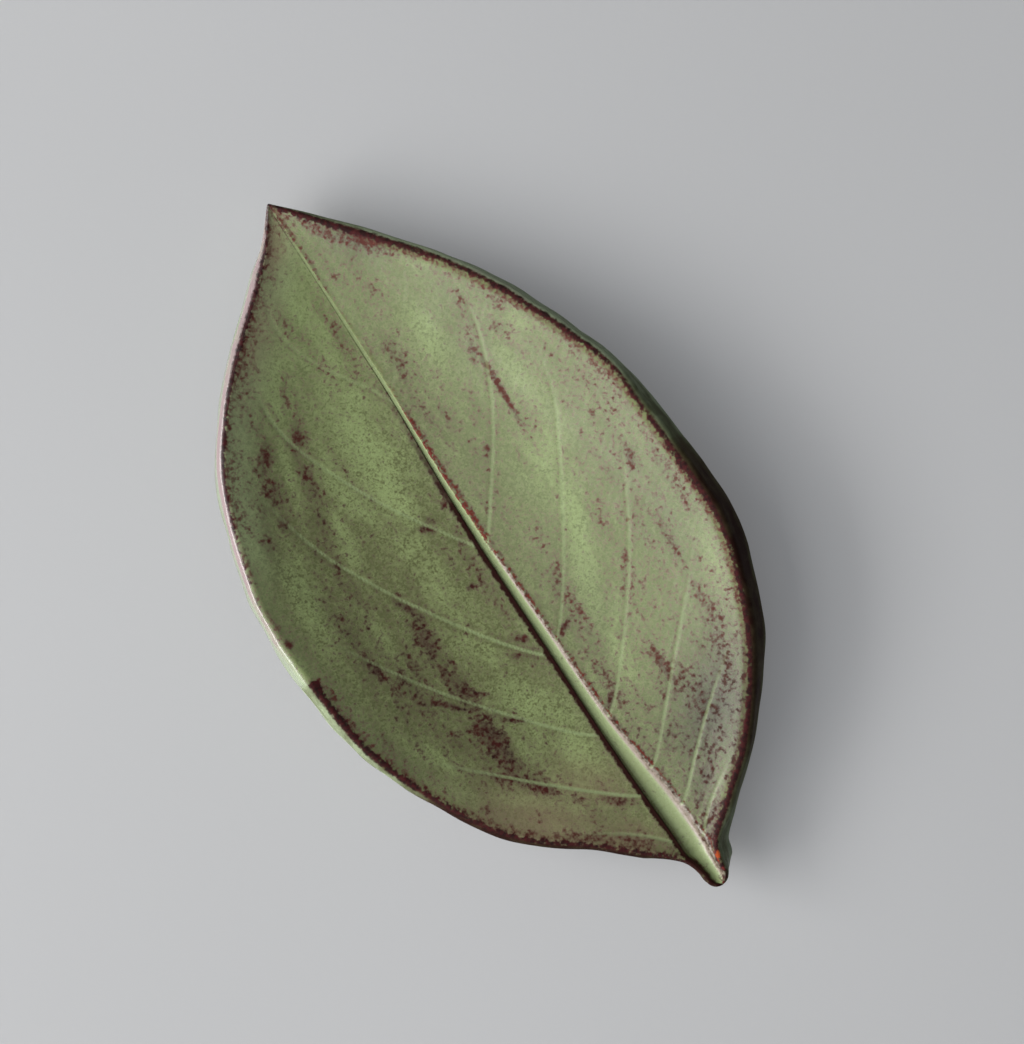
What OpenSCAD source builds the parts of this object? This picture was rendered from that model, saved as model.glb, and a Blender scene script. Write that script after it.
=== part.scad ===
// Ring dish: a leaf pressed into a slab of stoneware, cut out, curled up at the edges and glazed.
// Millimetres. The stem end points to -Y, the tip to +Y, and the dish opens upwards.
// The origin is under the middle of the dish, on the surface that its three feet stand on.

/* [Leaf] */
// Length from the stem end to the tip
leaf_l = 138; // [110:1:180]
// Widest half of the leaf, on the left of the midrib
left_w = 37; // [26:0.2:50]
// Widest half of the leaf, on the right of the midrib
right_w = 35.2; // [26:0.2:50]
// Sideways bow of the midrib
midrib_bow = 1.5; // [0:0.1:4]

/* [Dish] */
// How far the left rim stands above the floor of the dish
left_rise = 8.2; // [3:0.2:13]
// How far the right rim stands above the floor of the dish
right_rise = 8.2; // [3:0.2:13]
// How far the tip lifts above the floor of the dish
tip_rise = 4; // [0:0.5:10]
// How far the stem end lifts above the floor of the dish
stem_rise = 3.5; // [0:0.5:10]

/* [Slab] */
// Thickness of the clay slab
slab_t = 5.5; // [4:0.25:8]
// Rounding of the upper corner of the cut edge
crest_r = 1; // [0.4:0.1:1.6]
// Rounding of the lower corner of the cut edge
lower_r = 0.9; // [0.4:0.1:1.6]

/* [Glaze] */
// Thickness of the glaze
glaze_t = 0.45; // [0.3:0.05:0.8]
// Width of the glazed border underneath, from the edge to the waxed line
wax_border = 5; // [2:0.5:8]
// Share of a vein's depth that pooled glaze fills
pooling = 0.35; // [0:0.05:0.7]

/* [Veins] */
// Width of the midrib groove at the stem
midrib_w = 4.3; // [2:0.1:5]
// Depth of the midrib groove at the stem
midrib_depth = 1.5; // [0.4:0.1:2.5]
// Width of a side vein's groove
vein_w = 1.3; // [0.8:0.1:2]
// Depth of a side vein's groove
vein_depth = 0.6; // [0.2:0.05:1]

/* [Feet] */
// Diameter of a foot where it stands
foot_d = 8; // [5:0.5:12]
// Height of the floor under the belly
foot_h = 1.8; // [1:0.1:5]
// How far the left and right feet stand from the midrib
foot_spread = 19; // [12:0.5:24]
// Distance of the left and right feet from the stem end
side_feet_y = 48; // [36:1:60]
// Distance of the tip foot from the stem end
tip_foot_y = 103; // [88:1:108]

/* [Hidden] */
clay_colour = "#9a6a4c";
glaze_colour = "#7d9272";
foot_colour = "#8f6146";
$fn = 64;

LEFT = 0;
RIGHT = 1;
sides = [-1, 1];

// Stations along the midrib. Each row holds the place as a share of the leaf's length, the left and right
// half widths as shares of the widest, the outward lean of the left and right cut edge as shares of its
// depth, the midrib's bow and the midrib groove's width as shares of their own sizes.
PLACE = 0;
WIDTH = 1;
LEAN = 3;
BOW = 5;
GROOVE = 6;
stations = [
    [0.000, 0.040, 0.042, 0.05, 0.20,  0.25, 0.70],
    [0.025, 0.045, 0.055, 0.05, 0.42,  0.20, 0.85],
    [0.050, 0.076, 0.106, 0.05, 0.36,  0.05, 1.00],
    [0.085, 0.202, 0.267, 0.04, 0.25,  0.00, 1.00],
    [0.125, 0.358, 0.454, 0.03, 0.22, -0.15, 1.00],
    [0.185, 0.609, 0.661, 0.03, 0.34, -0.55, 0.80],
    [0.250, 0.761, 0.829, 0.08, 0.48, -0.86, 0.60],
    [0.370, 0.949, 0.989, 0.16, 0.50, -0.90, 0.50],
    [0.490, 0.998, 0.999, 0.26, 0.42, -1.00, 0.40],
    [0.550, 1.000, 0.985, 0.25, 0.35, -0.95, 0.34],
    [0.610, 0.984, 0.964, 0.22, 0.18, -0.85, 0.28],
    [0.730, 0.865, 0.765, 0.23, 0.16, -0.35, 0.20],
    [0.790, 0.737, 0.640, 0.20, 0.15, -0.25, 0.18],
    [0.850, 0.547, 0.479, 0.21, 0.05, -0.15, 0.15],
    [0.950, 0.142, 0.159, 0.18, 0.02, -0.05, 0.12],
    [1.000, 0.000, 0.000, 0.00, 0.00,  0.00, 0.10],
];
last_station = len(stations) - 1;

// Side veins in pairs from the stem to the tip. Each row holds the places where the left and the right one
// leave the midrib, as shares of the leaf's length, and the strength of each from 0 to 1.
veins = [
    [0.070, 0.060, 0.8, 0.6],
    [0.106, 0.106, 0.0, 0.8],
    [0.142, 0.135, 0.9, 0.0],
    [0.186, 0.164, 0.0, 0.7],
    [0.232, 0.205, 0.7, 0.0],
    [0.286, 0.246, 0.0, 0.8],
    [0.348, 0.360, 1.0, 0.9],
    [0.506, 0.508, 0.9, 0.7],
    [0.716, 0.726, 0.5, 0.4],
];

// Rows across the leaf near its two ends, and columns from the midrib groove to the rim
stem_rows = [0.003, 0.009, 0.018, 0.026, 0.034, 0.041, 0.048];
tip_rows = [0.800, 0.850, 0.892, 0.928, 0.957, 0.976, 0.989];
row_gap = 0.034;
blade_columns = [0, 0.05, 0.13, 0.24, 0.37, 0.51, 0.65, 0.78, 0.88, 0.95, 1];
groove_columns = [-0.75, -0.45, 0, 0.45, 0.75];
underside_columns = [-0.8, -0.6, -0.4, -0.2, 0, 0.2, 0.4, 0.6, 0.8];

// How side veins arch towards the tip, on the left and on the right: how early they turn, how firmly, how much
// of that is lost again near the tip, how they bend on the way out, and how fast the bend wears off
arch_turn = [0.294, 0.324];
arch_firmness = [1.53, 1.4];
arch_loss = [0.325, 0.83];
arch_bend = [2.1, 1.82];
bend_loss = [1.4, 1.16];
// Rows run straight across below the first of these places, and arch in full from the second on
straight_until = 0.01;
arched_from = 0.06;

// The dish's cross-section is a power of the share of the half width, and its long section one of the length
bowl_power = 1.8;
boat_power = 3;
belly_place = 0.45;

// The midrib groove never takes more than this share of the half width, and its section is a power too
groove_share = 0.8;
groove_power = 3;
// Side veins fade out between these shares of the half width, and take up to this share of the room beside them
fade_start = 0.7;
fade_end = 0.97;
vein_room = 0.45;
slant_probe = 0.02;
// Radius of the round stem end, and how much of the half width the glazed border may take near the ends
stem_end_r = 0.045 * left_w;
border_share = 0.4;
// Half width below which the roundings of the cut edge shrink with the leaf
full_rounding_w = 0.2 * left_w;
// Draft of a foot's side, and how far its blank reaches into the slab before the slab's shape is cut from it
foot_draft = 0.12 * foot_d;
foot_reach = 0.8 * slab_t;

// Smooth curve through one column of the stations
function span(t, i = 0) = i >= last_station - 1 || t < stations[i + 1][PLACE] ? i : span(t, i + 1);

function steepness(a, b, column) = (b[column] - a[column]) / (b[PLACE] - a[PLACE]);

function tangent(i, column) =
    steepness(stations[max(i - 1, 0)], stations[min(i + 1, last_station)], column);

function curve(t, column) =
    let (
        i = span(t),
        a = stations[i],
        b = stations[i + 1],
        gap = b[PLACE] - a[PLACE],
        s = (t - a[PLACE]) / gap
    )
    (1 + 2 * s) * pow(1 - s, 2) * a[column]
    + s * pow(1 - s, 2) * gap * tangent(i, column)
    + pow(s, 2) * (3 - 2 * s) * b[column]
    + pow(s, 2) * (s - 1) * gap * tangent(i + 1, column);

function ease(a, b, t) = let (s = min(max((t - a) / (b - a), 0), 1)) s * s * (3 - 2 * s);

// Outline and section of the leaf at a place along the midrib
function round_end(t) =
    let (s = 1 - t * leaf_l / stem_end_r)
    s > 0 ? sqrt(max(1 - s * s, 0)) : 1;

function half_width(side, t) = [left_w, right_w][side] * curve(t, WIDTH + side) * round_end(t);

function midrib_x(t) = midrib_bow * curve(t, BOW);

function groove_half(t) =
    min(midrib_w / 2 * curve(t, GROOVE), groove_share * min(half_width(LEFT, t), half_width(RIGHT, t)));

function groove_deep(t) = midrib_depth * groove_half(t) / (midrib_w / 2);

function boat(t) =
    t > belly_place
    ? tip_rise * pow((t - belly_place) / (1 - belly_place), boat_power)
    : stem_rise * pow((belly_place - t) / belly_place, boat_power);

function bowl(side, t, q) =
    [left_rise, right_rise][side] * half_width(side, t) / [left_w, right_w][side] * pow(q, bowl_power);

// Place along the leaf of a point on a side vein that left the midrib at v and got u of the way to the rim
function arch(side, v) =
    (1 - exp(-pow(v / arch_turn[side], arch_firmness[side]))) * (1 - arch_loss[side] * v * v)
    * ease(straight_until, arched_from, v);

function vein_place(side, v, u) =
    v + (1 - v) * arch(side, v) * pow(u, arch_bend[side] * exp(-bend_loss[side] * v));

// Rows: the places where a row leaves the midrib on the left and the right, its veins' strengths, and -1 or 1
// for the stem's or the tip's edge of a vein
STRENGTH = 2;
EDGE = 4;
vein_step = vein_w / 2 / leaf_l;

function fill_rows(a, b) =
    let (n = max(1, round((vein_place(LEFT, b[LEFT], 1) - vein_place(LEFT, a[LEFT], 1)) / row_gap) - 1))
    [for (i = [1:n])
        let (s = i / (n + 1))
        [for (side = [LEFT, RIGHT]) (a[side] + vein_step) * (1 - s) + (b[side] - vein_step) * s]];

function plain_row(left, right, edge = 0) = [left, right, 0, 0, edge];

function vein_rows(vein) = [
    plain_row(vein[LEFT] - vein_step, vein[RIGHT] - vein_step, -1),
    concat(vein, 0),
    plain_row(vein[LEFT] + vein_step, vein[RIGHT] + vein_step, 1),
];

rows = [
    for (v = stem_rows) plain_row(v, v),
    for (i = [0:len(veins) - 1]) each [
        each vein_rows(veins[i]),
        if (i < len(veins) - 1) for (pair = fill_rows(veins[i], veins[i + 1])) plain_row(pair[LEFT], pair[RIGHT]),
    ],
    for (v = tip_rows) plain_row(v, v),
];
n_rows = len(rows);

// A vein keeps its width square to its own direction, but never takes more than a share of the room beside it
function vein_slant(side, v, u) =
    let (near = vein_place(side, v, u), far = vein_place(side, v, u + slant_probe))
    (far - near) * leaf_l / (slant_probe * half_width(side, near));

function row_place(side, k, u) =
    let (edge = rows[k][EDGE], v = rows[k - edge][side], vein = vein_place(side, v, u))
    edge == 0 ? vein :
    let (
        slant = vein_slant(side, v, u),
        room = abs(vein_place(side, rows[k + edge][side], u) - vein)
    )
    vein + edge * min(vein_step * sqrt(1 + slant * slant), vein_room * room);

// One smooth point of the dish's face, and the share of the half width that it lies at
function face_at(side, x, t) =
    let (q = min(abs(x - midrib_x(t)) / half_width(side, t), 1))
    [[x, t * leaf_l, boat(t) + bowl(side, t, q)], q];

function blade_point(side, k, u) =
    let (
        t = row_place(side, k, u),
        reach = groove_half(t) + (half_width(side, t) - groove_half(t)) * u
    )
    face_at(side, midrib_x(t) + sides[side] * reach, t);

function end_point(t) = [midrib_x(t), t * leaf_l, boat(t)];

rims = [for (side = [LEFT, RIGHT]) [for (k = [0:n_rows - 1]) blade_point(side, k, 1)[0]]];

// Level outward direction at the rim of a row
function rim_out(side, k) =
    let (
        before = k > 0 ? rims[side][k - 1] : end_point(0),
        after = k < n_rows - 1 ? rims[side][k + 1] : end_point(1),
        along = [after[0] - before[0], after[1] - before[1]] / norm([after[0] - before[0], after[1] - before[1]])
    )
    sides[side] * [along[1], -along[0], 0];

outs = [for (side = [LEFT, RIGHT]) [for (k = [0:n_rows - 1]) rim_out(side, k)]];

function lean_at(side, k) = curve(row_place(side, k, 1), LEAN + side);

// Direction from the face through the slab, which leans outwards towards the rim
function through(side, k, q) =
    let (lean = lean_at(side, k) * pow(q, bowl_power - 1))
    lean * outs[side][k] - [0, 0, sqrt(1 - lean * lean)];

// Grooves of the midrib and of the side veins, measured into the slab
function vein_groove(side, k, u) = vein_depth * rows[k][STRENGTH + side] * (1 - ease(fade_start, fade_end, u));

function blade_at(side, k, u, deep, lift) =
    let (point = blade_point(side, k, u))
    point[0] + through(side, k, point[1]) * (deep * vein_groove(side, k, u) - lift);

function groove_at(k, s, deep, lift) =
    let (
        t = rows[k][LEFT] * (1 - s) / 2 + rows[k][RIGHT] * (1 + s) / 2,
        half = groove_half(t),
        side = s < 0 ? LEFT : RIGHT,
        floor = groove_deep(t) * (1 - pow(abs(s), groove_power)),
        height = boat(t) + bowl(side, t, half * abs(s) / half_width(side, t))
    )
    [midrib_x(t) + half * s, t * leaf_l, height - deep * floor + lift];

// The face: all rows, then the stem end and the tip. deep scales the grooves, lift raises the face.
function face_points(deep, lift) = [
    for (k = [0:n_rows - 1]) each [
        for (i = [len(blade_columns) - 1:-1:0]) blade_at(LEFT, k, blade_columns[i], deep, lift),
        for (s = groove_columns) groove_at(k, s, deep, lift),
        for (u = blade_columns) blade_at(RIGHT, k, u, deep, lift),
    ],
    end_point(0) + [0, 0, lift],
    end_point(1) + [0, 0, lift],
];
n_columns = 2 * len(blade_columns) + len(groove_columns);
stem_index = n_rows * n_columns;
tip_index = stem_index + 1;
n_face = tip_index + 1;

// The rim as one loop: the stem end, the left side, the tip, and the right side back again. Each entry
// holds the rim point, the directions out of the cut edge and down it, and the share of its roundings.
function rounding(side, k) = min(half_width(side, row_place(side, k, 1)) / full_rounding_w, 1);

function rim_entry(point, out, lean, share) =
    let (upright = sqrt(1 - lean * lean))
    [point, upright * out + [0, 0, lean], lean * out - [0, 0, upright], share];

function side_entry(side, k) = rim_entry(rims[side][k], outs[side][k], lean_at(side, k), rounding(side, k));

rim_loop = [
    rim_entry(end_point(0), [0, -1, 0], curve(0, LEAN), rounding(LEFT, 0)),
    for (k = [0:n_rows - 1]) side_entry(LEFT, k),
    rim_entry(end_point(1), [0, 1, 0], curve(1, LEAN), rounding(LEFT, n_rows - 1)),
    for (k = [n_rows - 1:-1:0]) side_entry(RIGHT, k),
];
n_loop = len(rim_loop);

// Underside: a point that lies a share c of the way from the midrib to the waxed line, where the glazed
// border ends, and the waxed line itself as a loop
function waxed_place(side, k) =
    let (
        rim = rims[side][k],
        border = min(wax_border, border_share * half_width(side, rim[1] / leaf_l))
    )
    rim - border * outs[side][k];

function under_root(k) = end_point((waxed_place(LEFT, k)[1] + waxed_place(RIGHT, k)[1]) / 2 / leaf_l);

function under_point(side, k, c, depth) =
    let (
        root = under_root(k),
        place = root + (waxed_place(side, k) - root) * c,
        point = face_at(side, place[0], place[1] / leaf_l)
    )
    point[0] + depth * through(side, k, point[1]);

function waxed_end(k, end) = (waxed_place(LEFT, k)[1] / leaf_l + end) / 2;

function waxed_points(depth) = [
    end_point(waxed_end(0, 0)) - [0, 0, depth],
    for (k = [0:n_rows - 1]) under_point(LEFT, k, 1, depth),
    end_point(waxed_end(n_rows - 1, 1)) - [0, 0, depth],
    for (k = [n_rows - 1:-1:0]) under_point(RIGHT, k, 1, depth),
];

function underside_points() = [
    for (k = [0:n_rows - 1], c = underside_columns) under_point(c < 0 ? LEFT : RIGHT, k, abs(c), slab_t),
];

// Section of the cut edge: steps outwards and down from the rim point, with the glaze's thickness added
crest_angles = [30, 60, 90];
lower_angles = [0, 45, 90];
n_steps = len(crest_angles) + len(lower_angles) + 1;

function crest_step(a, r, lift) = [(r + lift) * sin(a), r - (r + lift) * cos(a)];

function lower_step(a, out, r, lift) = [out - r + (r + lift) * cos(a), slab_t - r + (r + lift) * sin(a)];

function stepped(rim, step) = rim[0] + step[0] * rim[1] + step[1] * rim[2];

function edge_points(lift) = [
    for (a = crest_angles, rim = rim_loop) stepped(rim, crest_step(a, crest_r * rim[3], lift)),
    for (a = lower_angles, rim = rim_loop)
        stepped(rim, lower_step(a, crest_r * rim[3], lower_r * rim[3], lift)),
    each waxed_points(slab_t + lift),
];

// Index of the rim loop's i-th point in the face, and in the j-th step of the edge
function loop_in_face(i) =
    i == 0 ? stem_index :
    i <= n_rows ? (i - 1) * n_columns :
    i == n_rows + 1 ? tip_index :
    (2 * n_rows + 1 - i) * n_columns + n_columns - 1;

function loop_index(j, i) = let (at = i % n_loop) j == 0 ? loop_in_face(at) : n_face + (j - 1) * n_loop + at;

// Triangles between two rows of indices, and from a row to an end point
function strip(low, high) = [
    for (i = [0:len(low) - 2]) each [[low[i], high[i], high[i + 1]], [low[i], high[i + 1], low[i + 1]]],
];

function fan(point, row) = [for (i = [0:len(row) - 2]) [point, row[i], row[i + 1]]];

function reversed(list) = [for (i = [len(list) - 1:-1:0]) list[i]];

function turned(faces) = [for (face = faces) reversed(face)];

function shifted(faces, by) = [for (face = faces) [for (index = face) index + by]];

function face_row(k) = [for (c = [0:n_columns - 1]) k * n_columns + c];

// Surface of the face and the cut edge, as far as the waxed line
sheet_faces = [
    each fan(stem_index, face_row(0)),
    for (k = [0:n_rows - 2]) each strip(face_row(k), face_row(k + 1)),
    each fan(tip_index, reversed(face_row(n_rows - 1))),
    for (j = [0:n_steps - 1], i = [0:n_loop - 1])
        each [
            [loop_index(j, i), loop_index(j + 1, i), loop_index(j + 1, i + 1)],
            [loop_index(j, i), loop_index(j + 1, i + 1), loop_index(j, i + 1)],
        ],
];
n_sheet = n_face + n_steps * n_loop;

function sheet_points(deep, lift) = concat(face_points(deep, lift), edge_points(lift));

// Rows of the underside, from the left waxed line to the right one
function underside_row(k, first) = [
    loop_index(n_steps, k + 1),
    for (c = [0:len(underside_columns) - 1]) first + k * len(underside_columns) + c,
    loop_index(n_steps, 2 * n_rows + 1 - k),
];

underside_faces = turned([
    each fan(loop_index(n_steps, 0), underside_row(0, n_sheet)),
    for (k = [0:n_rows - 2]) each strip(underside_row(k, n_sheet), underside_row(k + 1, n_sheet)),
    each fan(loop_index(n_steps, n_rows + 1), reversed(underside_row(n_rows - 1, n_sheet))),
]);

// Where the dish stands: under the middle of its outline, on the floor
widest = sheet_points(1 - pooling, glaze_t);
middle_x = (min([for (p = widest) p[0]]) + max([for (p = widest) p[0]])) / 2;
middle_y = (min([for (p = widest) p[1]]) + max([for (p = widest) p[1]])) / 2;
belly_z = min([for (p = underside_points()) p[2]]);

module standing() {
    translate([-middle_x, -middle_y, foot_h - belly_z]) children();
}

module slab() {
    polyhedron(
        points = concat(sheet_points(1, 0), underside_points()),
        faces = concat(sheet_faces, underside_faces),
        convexity = 6
    );
}

module clay_body() {
    color(clay_colour)
        standing()
            slab();
}

// The glaze is a closed skin between the clay's own surface and the same surface lifted by its thickness
module glaze_coat() {
    closing = [
        for (i = [0:n_loop - 1])
            each [
                [loop_index(n_steps, i), n_sheet + loop_index(n_steps, i), n_sheet + loop_index(n_steps, i + 1)],
                [loop_index(n_steps, i), n_sheet + loop_index(n_steps, i + 1), loop_index(n_steps, i + 1)],
            ],
    ];
    color(glaze_colour)
        standing()
            polyhedron(
                points = concat(sheet_points(1 - pooling, glaze_t), sheet_points(1, 0)),
                faces = concat(sheet_faces, closing, turned(shifted(sheet_faces, n_sheet))),
                convexity = 6
            );
}

module foot(x, y) {
    color(foot_colour)
        difference() {
            translate([x - middle_x, y - middle_y, 0])
                cylinder(d1 = foot_d, d2 = foot_d + 2 * foot_draft, h = foot_h + foot_reach);
            standing()
                slab();
        }
}

module left_foot() {
    foot(midrib_x(side_feet_y / leaf_l) - foot_spread, side_feet_y);
}

module right_foot() {
    foot(midrib_x(side_feet_y / leaf_l) + foot_spread, side_feet_y);
}

module tip_foot() {
    foot(midrib_x(tip_foot_y / leaf_l), tip_foot_y);
}

clay_body();
glaze_coat();
left_foot();
right_foot();
tip_foot();
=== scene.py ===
"""Looks of the leaf-shaped ring dish: glaze, bare clay, feet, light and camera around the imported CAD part.

Shapes are worked out in millimetres in the leaf's own coordinates, as the CAD part does: x across from the
midrib's base line, y along the leaf from the stem end, z up from the floor of the dish.
"""

import math

import bmesh
import bpy
import numpy as np
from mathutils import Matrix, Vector
from mathutils.bvhtree import BVHTree
from mathutils.kdtree import KDTree


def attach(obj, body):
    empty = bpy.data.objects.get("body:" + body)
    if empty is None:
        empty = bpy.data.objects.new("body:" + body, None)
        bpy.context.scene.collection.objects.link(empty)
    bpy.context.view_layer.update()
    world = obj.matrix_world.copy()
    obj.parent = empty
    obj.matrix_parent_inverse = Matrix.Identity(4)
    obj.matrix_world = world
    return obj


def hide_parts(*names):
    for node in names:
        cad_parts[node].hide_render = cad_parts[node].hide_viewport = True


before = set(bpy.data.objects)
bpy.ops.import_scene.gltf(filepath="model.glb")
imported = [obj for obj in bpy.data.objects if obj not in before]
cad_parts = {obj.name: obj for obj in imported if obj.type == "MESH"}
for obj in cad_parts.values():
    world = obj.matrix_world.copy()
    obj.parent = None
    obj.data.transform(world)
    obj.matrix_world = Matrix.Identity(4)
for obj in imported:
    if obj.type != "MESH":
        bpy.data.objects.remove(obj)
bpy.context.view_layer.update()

MM = 0.001
LEFT, RIGHT = 0, 1
SIDES = (LEFT, RIGHT)
SIGN = (-1, 1)

# Sizes of the CAD part, in millimetres
LEAF_L = 138.0
HALF_W = (37.0, 35.2)
MIDRIB_BOW = 1.5
RISE = (8.2, 8.2)
TIP_RISE = 4.0
STEM_RISE = 3.5
SLAB_T = 5.5
CREST_R = 1.0
LOWER_R = 0.9
GLAZE_T = 0.45
WAX_BORDER = 5.0
BORDER_SHARE = 0.4
MIDRIB_W = 4.3
MIDRIB_DEPTH = 1.5
POOLING = 0.35
GROOVE_SHARE = 0.8
LEFT_STEEPNESS = 6
SHOULDER_START = 0.81
TIP_FILL = 0.75
TIP_FILLED = (0.62, 0.82)
BOWL_POWER = 1.8
BOAT_POWER = 3
BELLY_PLACE = 0.45
STEM_END_R = 0.045 * HALF_W[LEFT]
FULL_ROUNDING_W = 0.2 * HALF_W[LEFT]
FOOT_H = 1.8
FOOT_D = 8.0
CORNER_STEPS = 7
FEET = {"left_foot": (-19.0, 48.0), "right_foot": (19.0, 48.0), "tip_foot": (0.0, 103.0)}

# Where the leaf's coordinates lie in the frame: the middle of the outline, and the floor of the dish
MIDDLE = np.array([-1.80878, 68.7614, -(FOOT_H + SLAB_T)])
# The looks stay just inside the CAD part's faceted outline
TRIM = np.array([0.997, 0.998, 0.999])

# Stations along the midrib: place, half widths left and right, leans of the cut edge left and right, bow, groove
STATIONS = np.array([
    [0.000, 0.040, 0.042, 0.05, 0.20, 0.25, 0.70],
    [0.025, 0.045, 0.055, 0.05, 0.42, 0.20, 0.85],
    [0.050, 0.076, 0.106, 0.05, 0.36, 0.05, 1.00],
    [0.085, 0.202, 0.267, 0.04, 0.25, 0.00, 1.00],
    [0.125, 0.358, 0.454, 0.03, 0.22, -0.15, 1.00],
    [0.185, 0.609, 0.661, 0.03, 0.34, -0.55, 0.80],
    [0.250, 0.761, 0.829, 0.08, 0.48, -0.86, 0.60],
    [0.370, 0.949, 0.989, 0.16, 0.50, -0.90, 0.50],
    [0.490, 0.998, 0.999, 0.26, 0.42, -1.00, 0.40],
    [0.550, 1.000, 0.985, 0.25, 0.35, -0.95, 0.34],
    [0.610, 0.984, 0.964, 0.22, 0.18, -0.85, 0.28],
    [0.730, 0.865, 0.765, 0.23, 0.16, -0.35, 0.20],
    [0.790, 0.737, 0.640, 0.20, 0.15, -0.25, 0.18],
    [0.850, 0.547, 0.479, 0.21, 0.05, -0.15, 0.15],
    [0.950, 0.142, 0.159, 0.18, 0.02, -0.05, 0.12],
    [1.000, 0.000, 0.000, 0.00, 0.00, 0.00, 0.10],
])
WIDTH, LEAN, BOW, GROOVE = 1, 3, 5, 6
STEM_LEAN = 0.05
LEAN_START = (0.0, 0.02)

# Side veins: places where the left and right one leave the midrib, and the strength of each
VEINS = [
    (0.070, 0.060, 0.8, 0.6),
    (0.106, 0.106, 0.0, 0.9),
    (0.142, 0.135, 0.9, 0.0),
    (0.186, 0.164, 0.0, 0.8),
    (0.232, 0.205, 0.8, 0.0),
    (0.286, 0.246, 0.0, 0.8),
    (0.348, 0.360, 1.0, 0.7),
    (0.506, 0.508, 0.9, 0.8),
    (0.716, 0.726, 0.5, 0.2),
]
VEIN_HALF = 0.45
VEIN_DEPTH = 0.08
VEIN_FADE = (0.62, 0.92)
ARCH_TURN = (0.294, 0.324)
ARCH_FIRMNESS = (1.53, 1.4)
ARCH_LOSS = (0.325, 0.83)
ARCH_BEND = (2.1, 1.82)
BEND_LOSS = (1.4, 1.16)
STRAIGHT_UNTIL = 0.01
ARCHED_FROM = 0.06

# Along the rim from the stem end to the tip: y, then for the left and for the right side how far inwards the
# burgundy line reaches, how strong it is, how pale the cut edge is, from 0, nearly black, over 1, pale green,
# to 2, pale pink, and how dull the crest is. The cut edge's tones hold painted light and shade besides the
# glaze's
# own colour: near black on the right's middle is partly painted shade, pale green on the right towards the tip is
# painted light from the surroundings, and pale pink on the left towards the tip is partly painted highlight
RIM_TONES = np.array([
    (0.0, 0.00, 0.40, 1.0, 0.8, 0.10, 0.60, 1.0, 0.6),
    (9.0, 0.00, 0.50, 0.9, 1.2, 0.00, 0.65, 1.0, 0.8),
    (16.0, 0.02, 0.30, 1.0, 1.2, 0.00, 0.35, 1.0, 1.0),
    (24.0, 0.12, 0.20, 1.0, 1.1, 0.00, 0.20, 1.0, 1.0),
    (36.0, 0.15, 0.15, 1.05, 1.1, 0.05, 0.05, 1.0, 1.0),
    (41.0, 0.15, 0.10, 1.05, 1.1, 0.45, 0.05, 1.0, 1.0),
    (46.0, 0.30, 0.00, 1.1, 1.0, 0.74, 0.00, 1.0, 1.0),
    (53.0, 0.45, 0.15, 1.1, 1.1, 0.76, 0.00, 0.9, 1.0),
    (62.0, 0.65, 0.45, 1.2, 1.1, 0.76, 0.18, 0.5, 1.0),
    (66.5, 0.90, 0.40, 1.3, 1.1, 0.78, 0.42, 0.3, 1.0),
    (67.5, 0.00, 0.40, 0.1, 1.0, 1.00, 0.52, -0.4, 1.0),
    (78.0, -0.40, 0.25, 0.45, 0.9, 1.35, 0.74, -0.5, 1.0),
    (85.0, -0.40, 0.20, 0.75, 0.9, 1.50, 0.92, -0.5, 1.0),
    (92.0, -0.35, 0.20, 0.85, 1.2, 1.60, 1.02, -0.5, 1.0),
    (103.0, -0.20, 0.30, 1.2, 1.2, 1.60, 1.04, -0.5, 1.0),
    (112.0, -0.10, 0.10, 1.2, 1.0, 1.60, 1.04, -0.5, 1.0),
    (122.0, 0.00, 0.30, 1.3, 1.2, 1.50, 0.95, -0.5, 0.9),
    (132.0, -0.05, 0.40, 1.2, 1.2, 1.50, 0.70, -0.5, 0.4),
    (140.0, 0.00, 0.30, 1.2, 0.9, 1.30, 0.60, -0.3, 0.0),
])

# The glaze is paler on the right half, near the tip and near the stem: where that starts and where it is full.
# Near the tip the paleness is partly painted light, lightening the left slope that faces away from the lamps
PALER_FROM = (-12.0, 16.0)
PALER_TIP = (84.0, 122.0)
PALER_STEM = (40.0, 12.0)
PALER_EDGE = (5.5, 1.0)

# It is milky inside the left rim towards the tip: the distance from the rim, and the place along the leaf
MILKY_EDGE = (7.5, 1.5)
MILKY_FROM = (78.0, 98.0)

# Places where the glaze is so thin that the iron shows rust red
RUST_PATCHES = [
    (2.6, 4.2, 1.0, 0.45, -32, 0.9),
]

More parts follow.
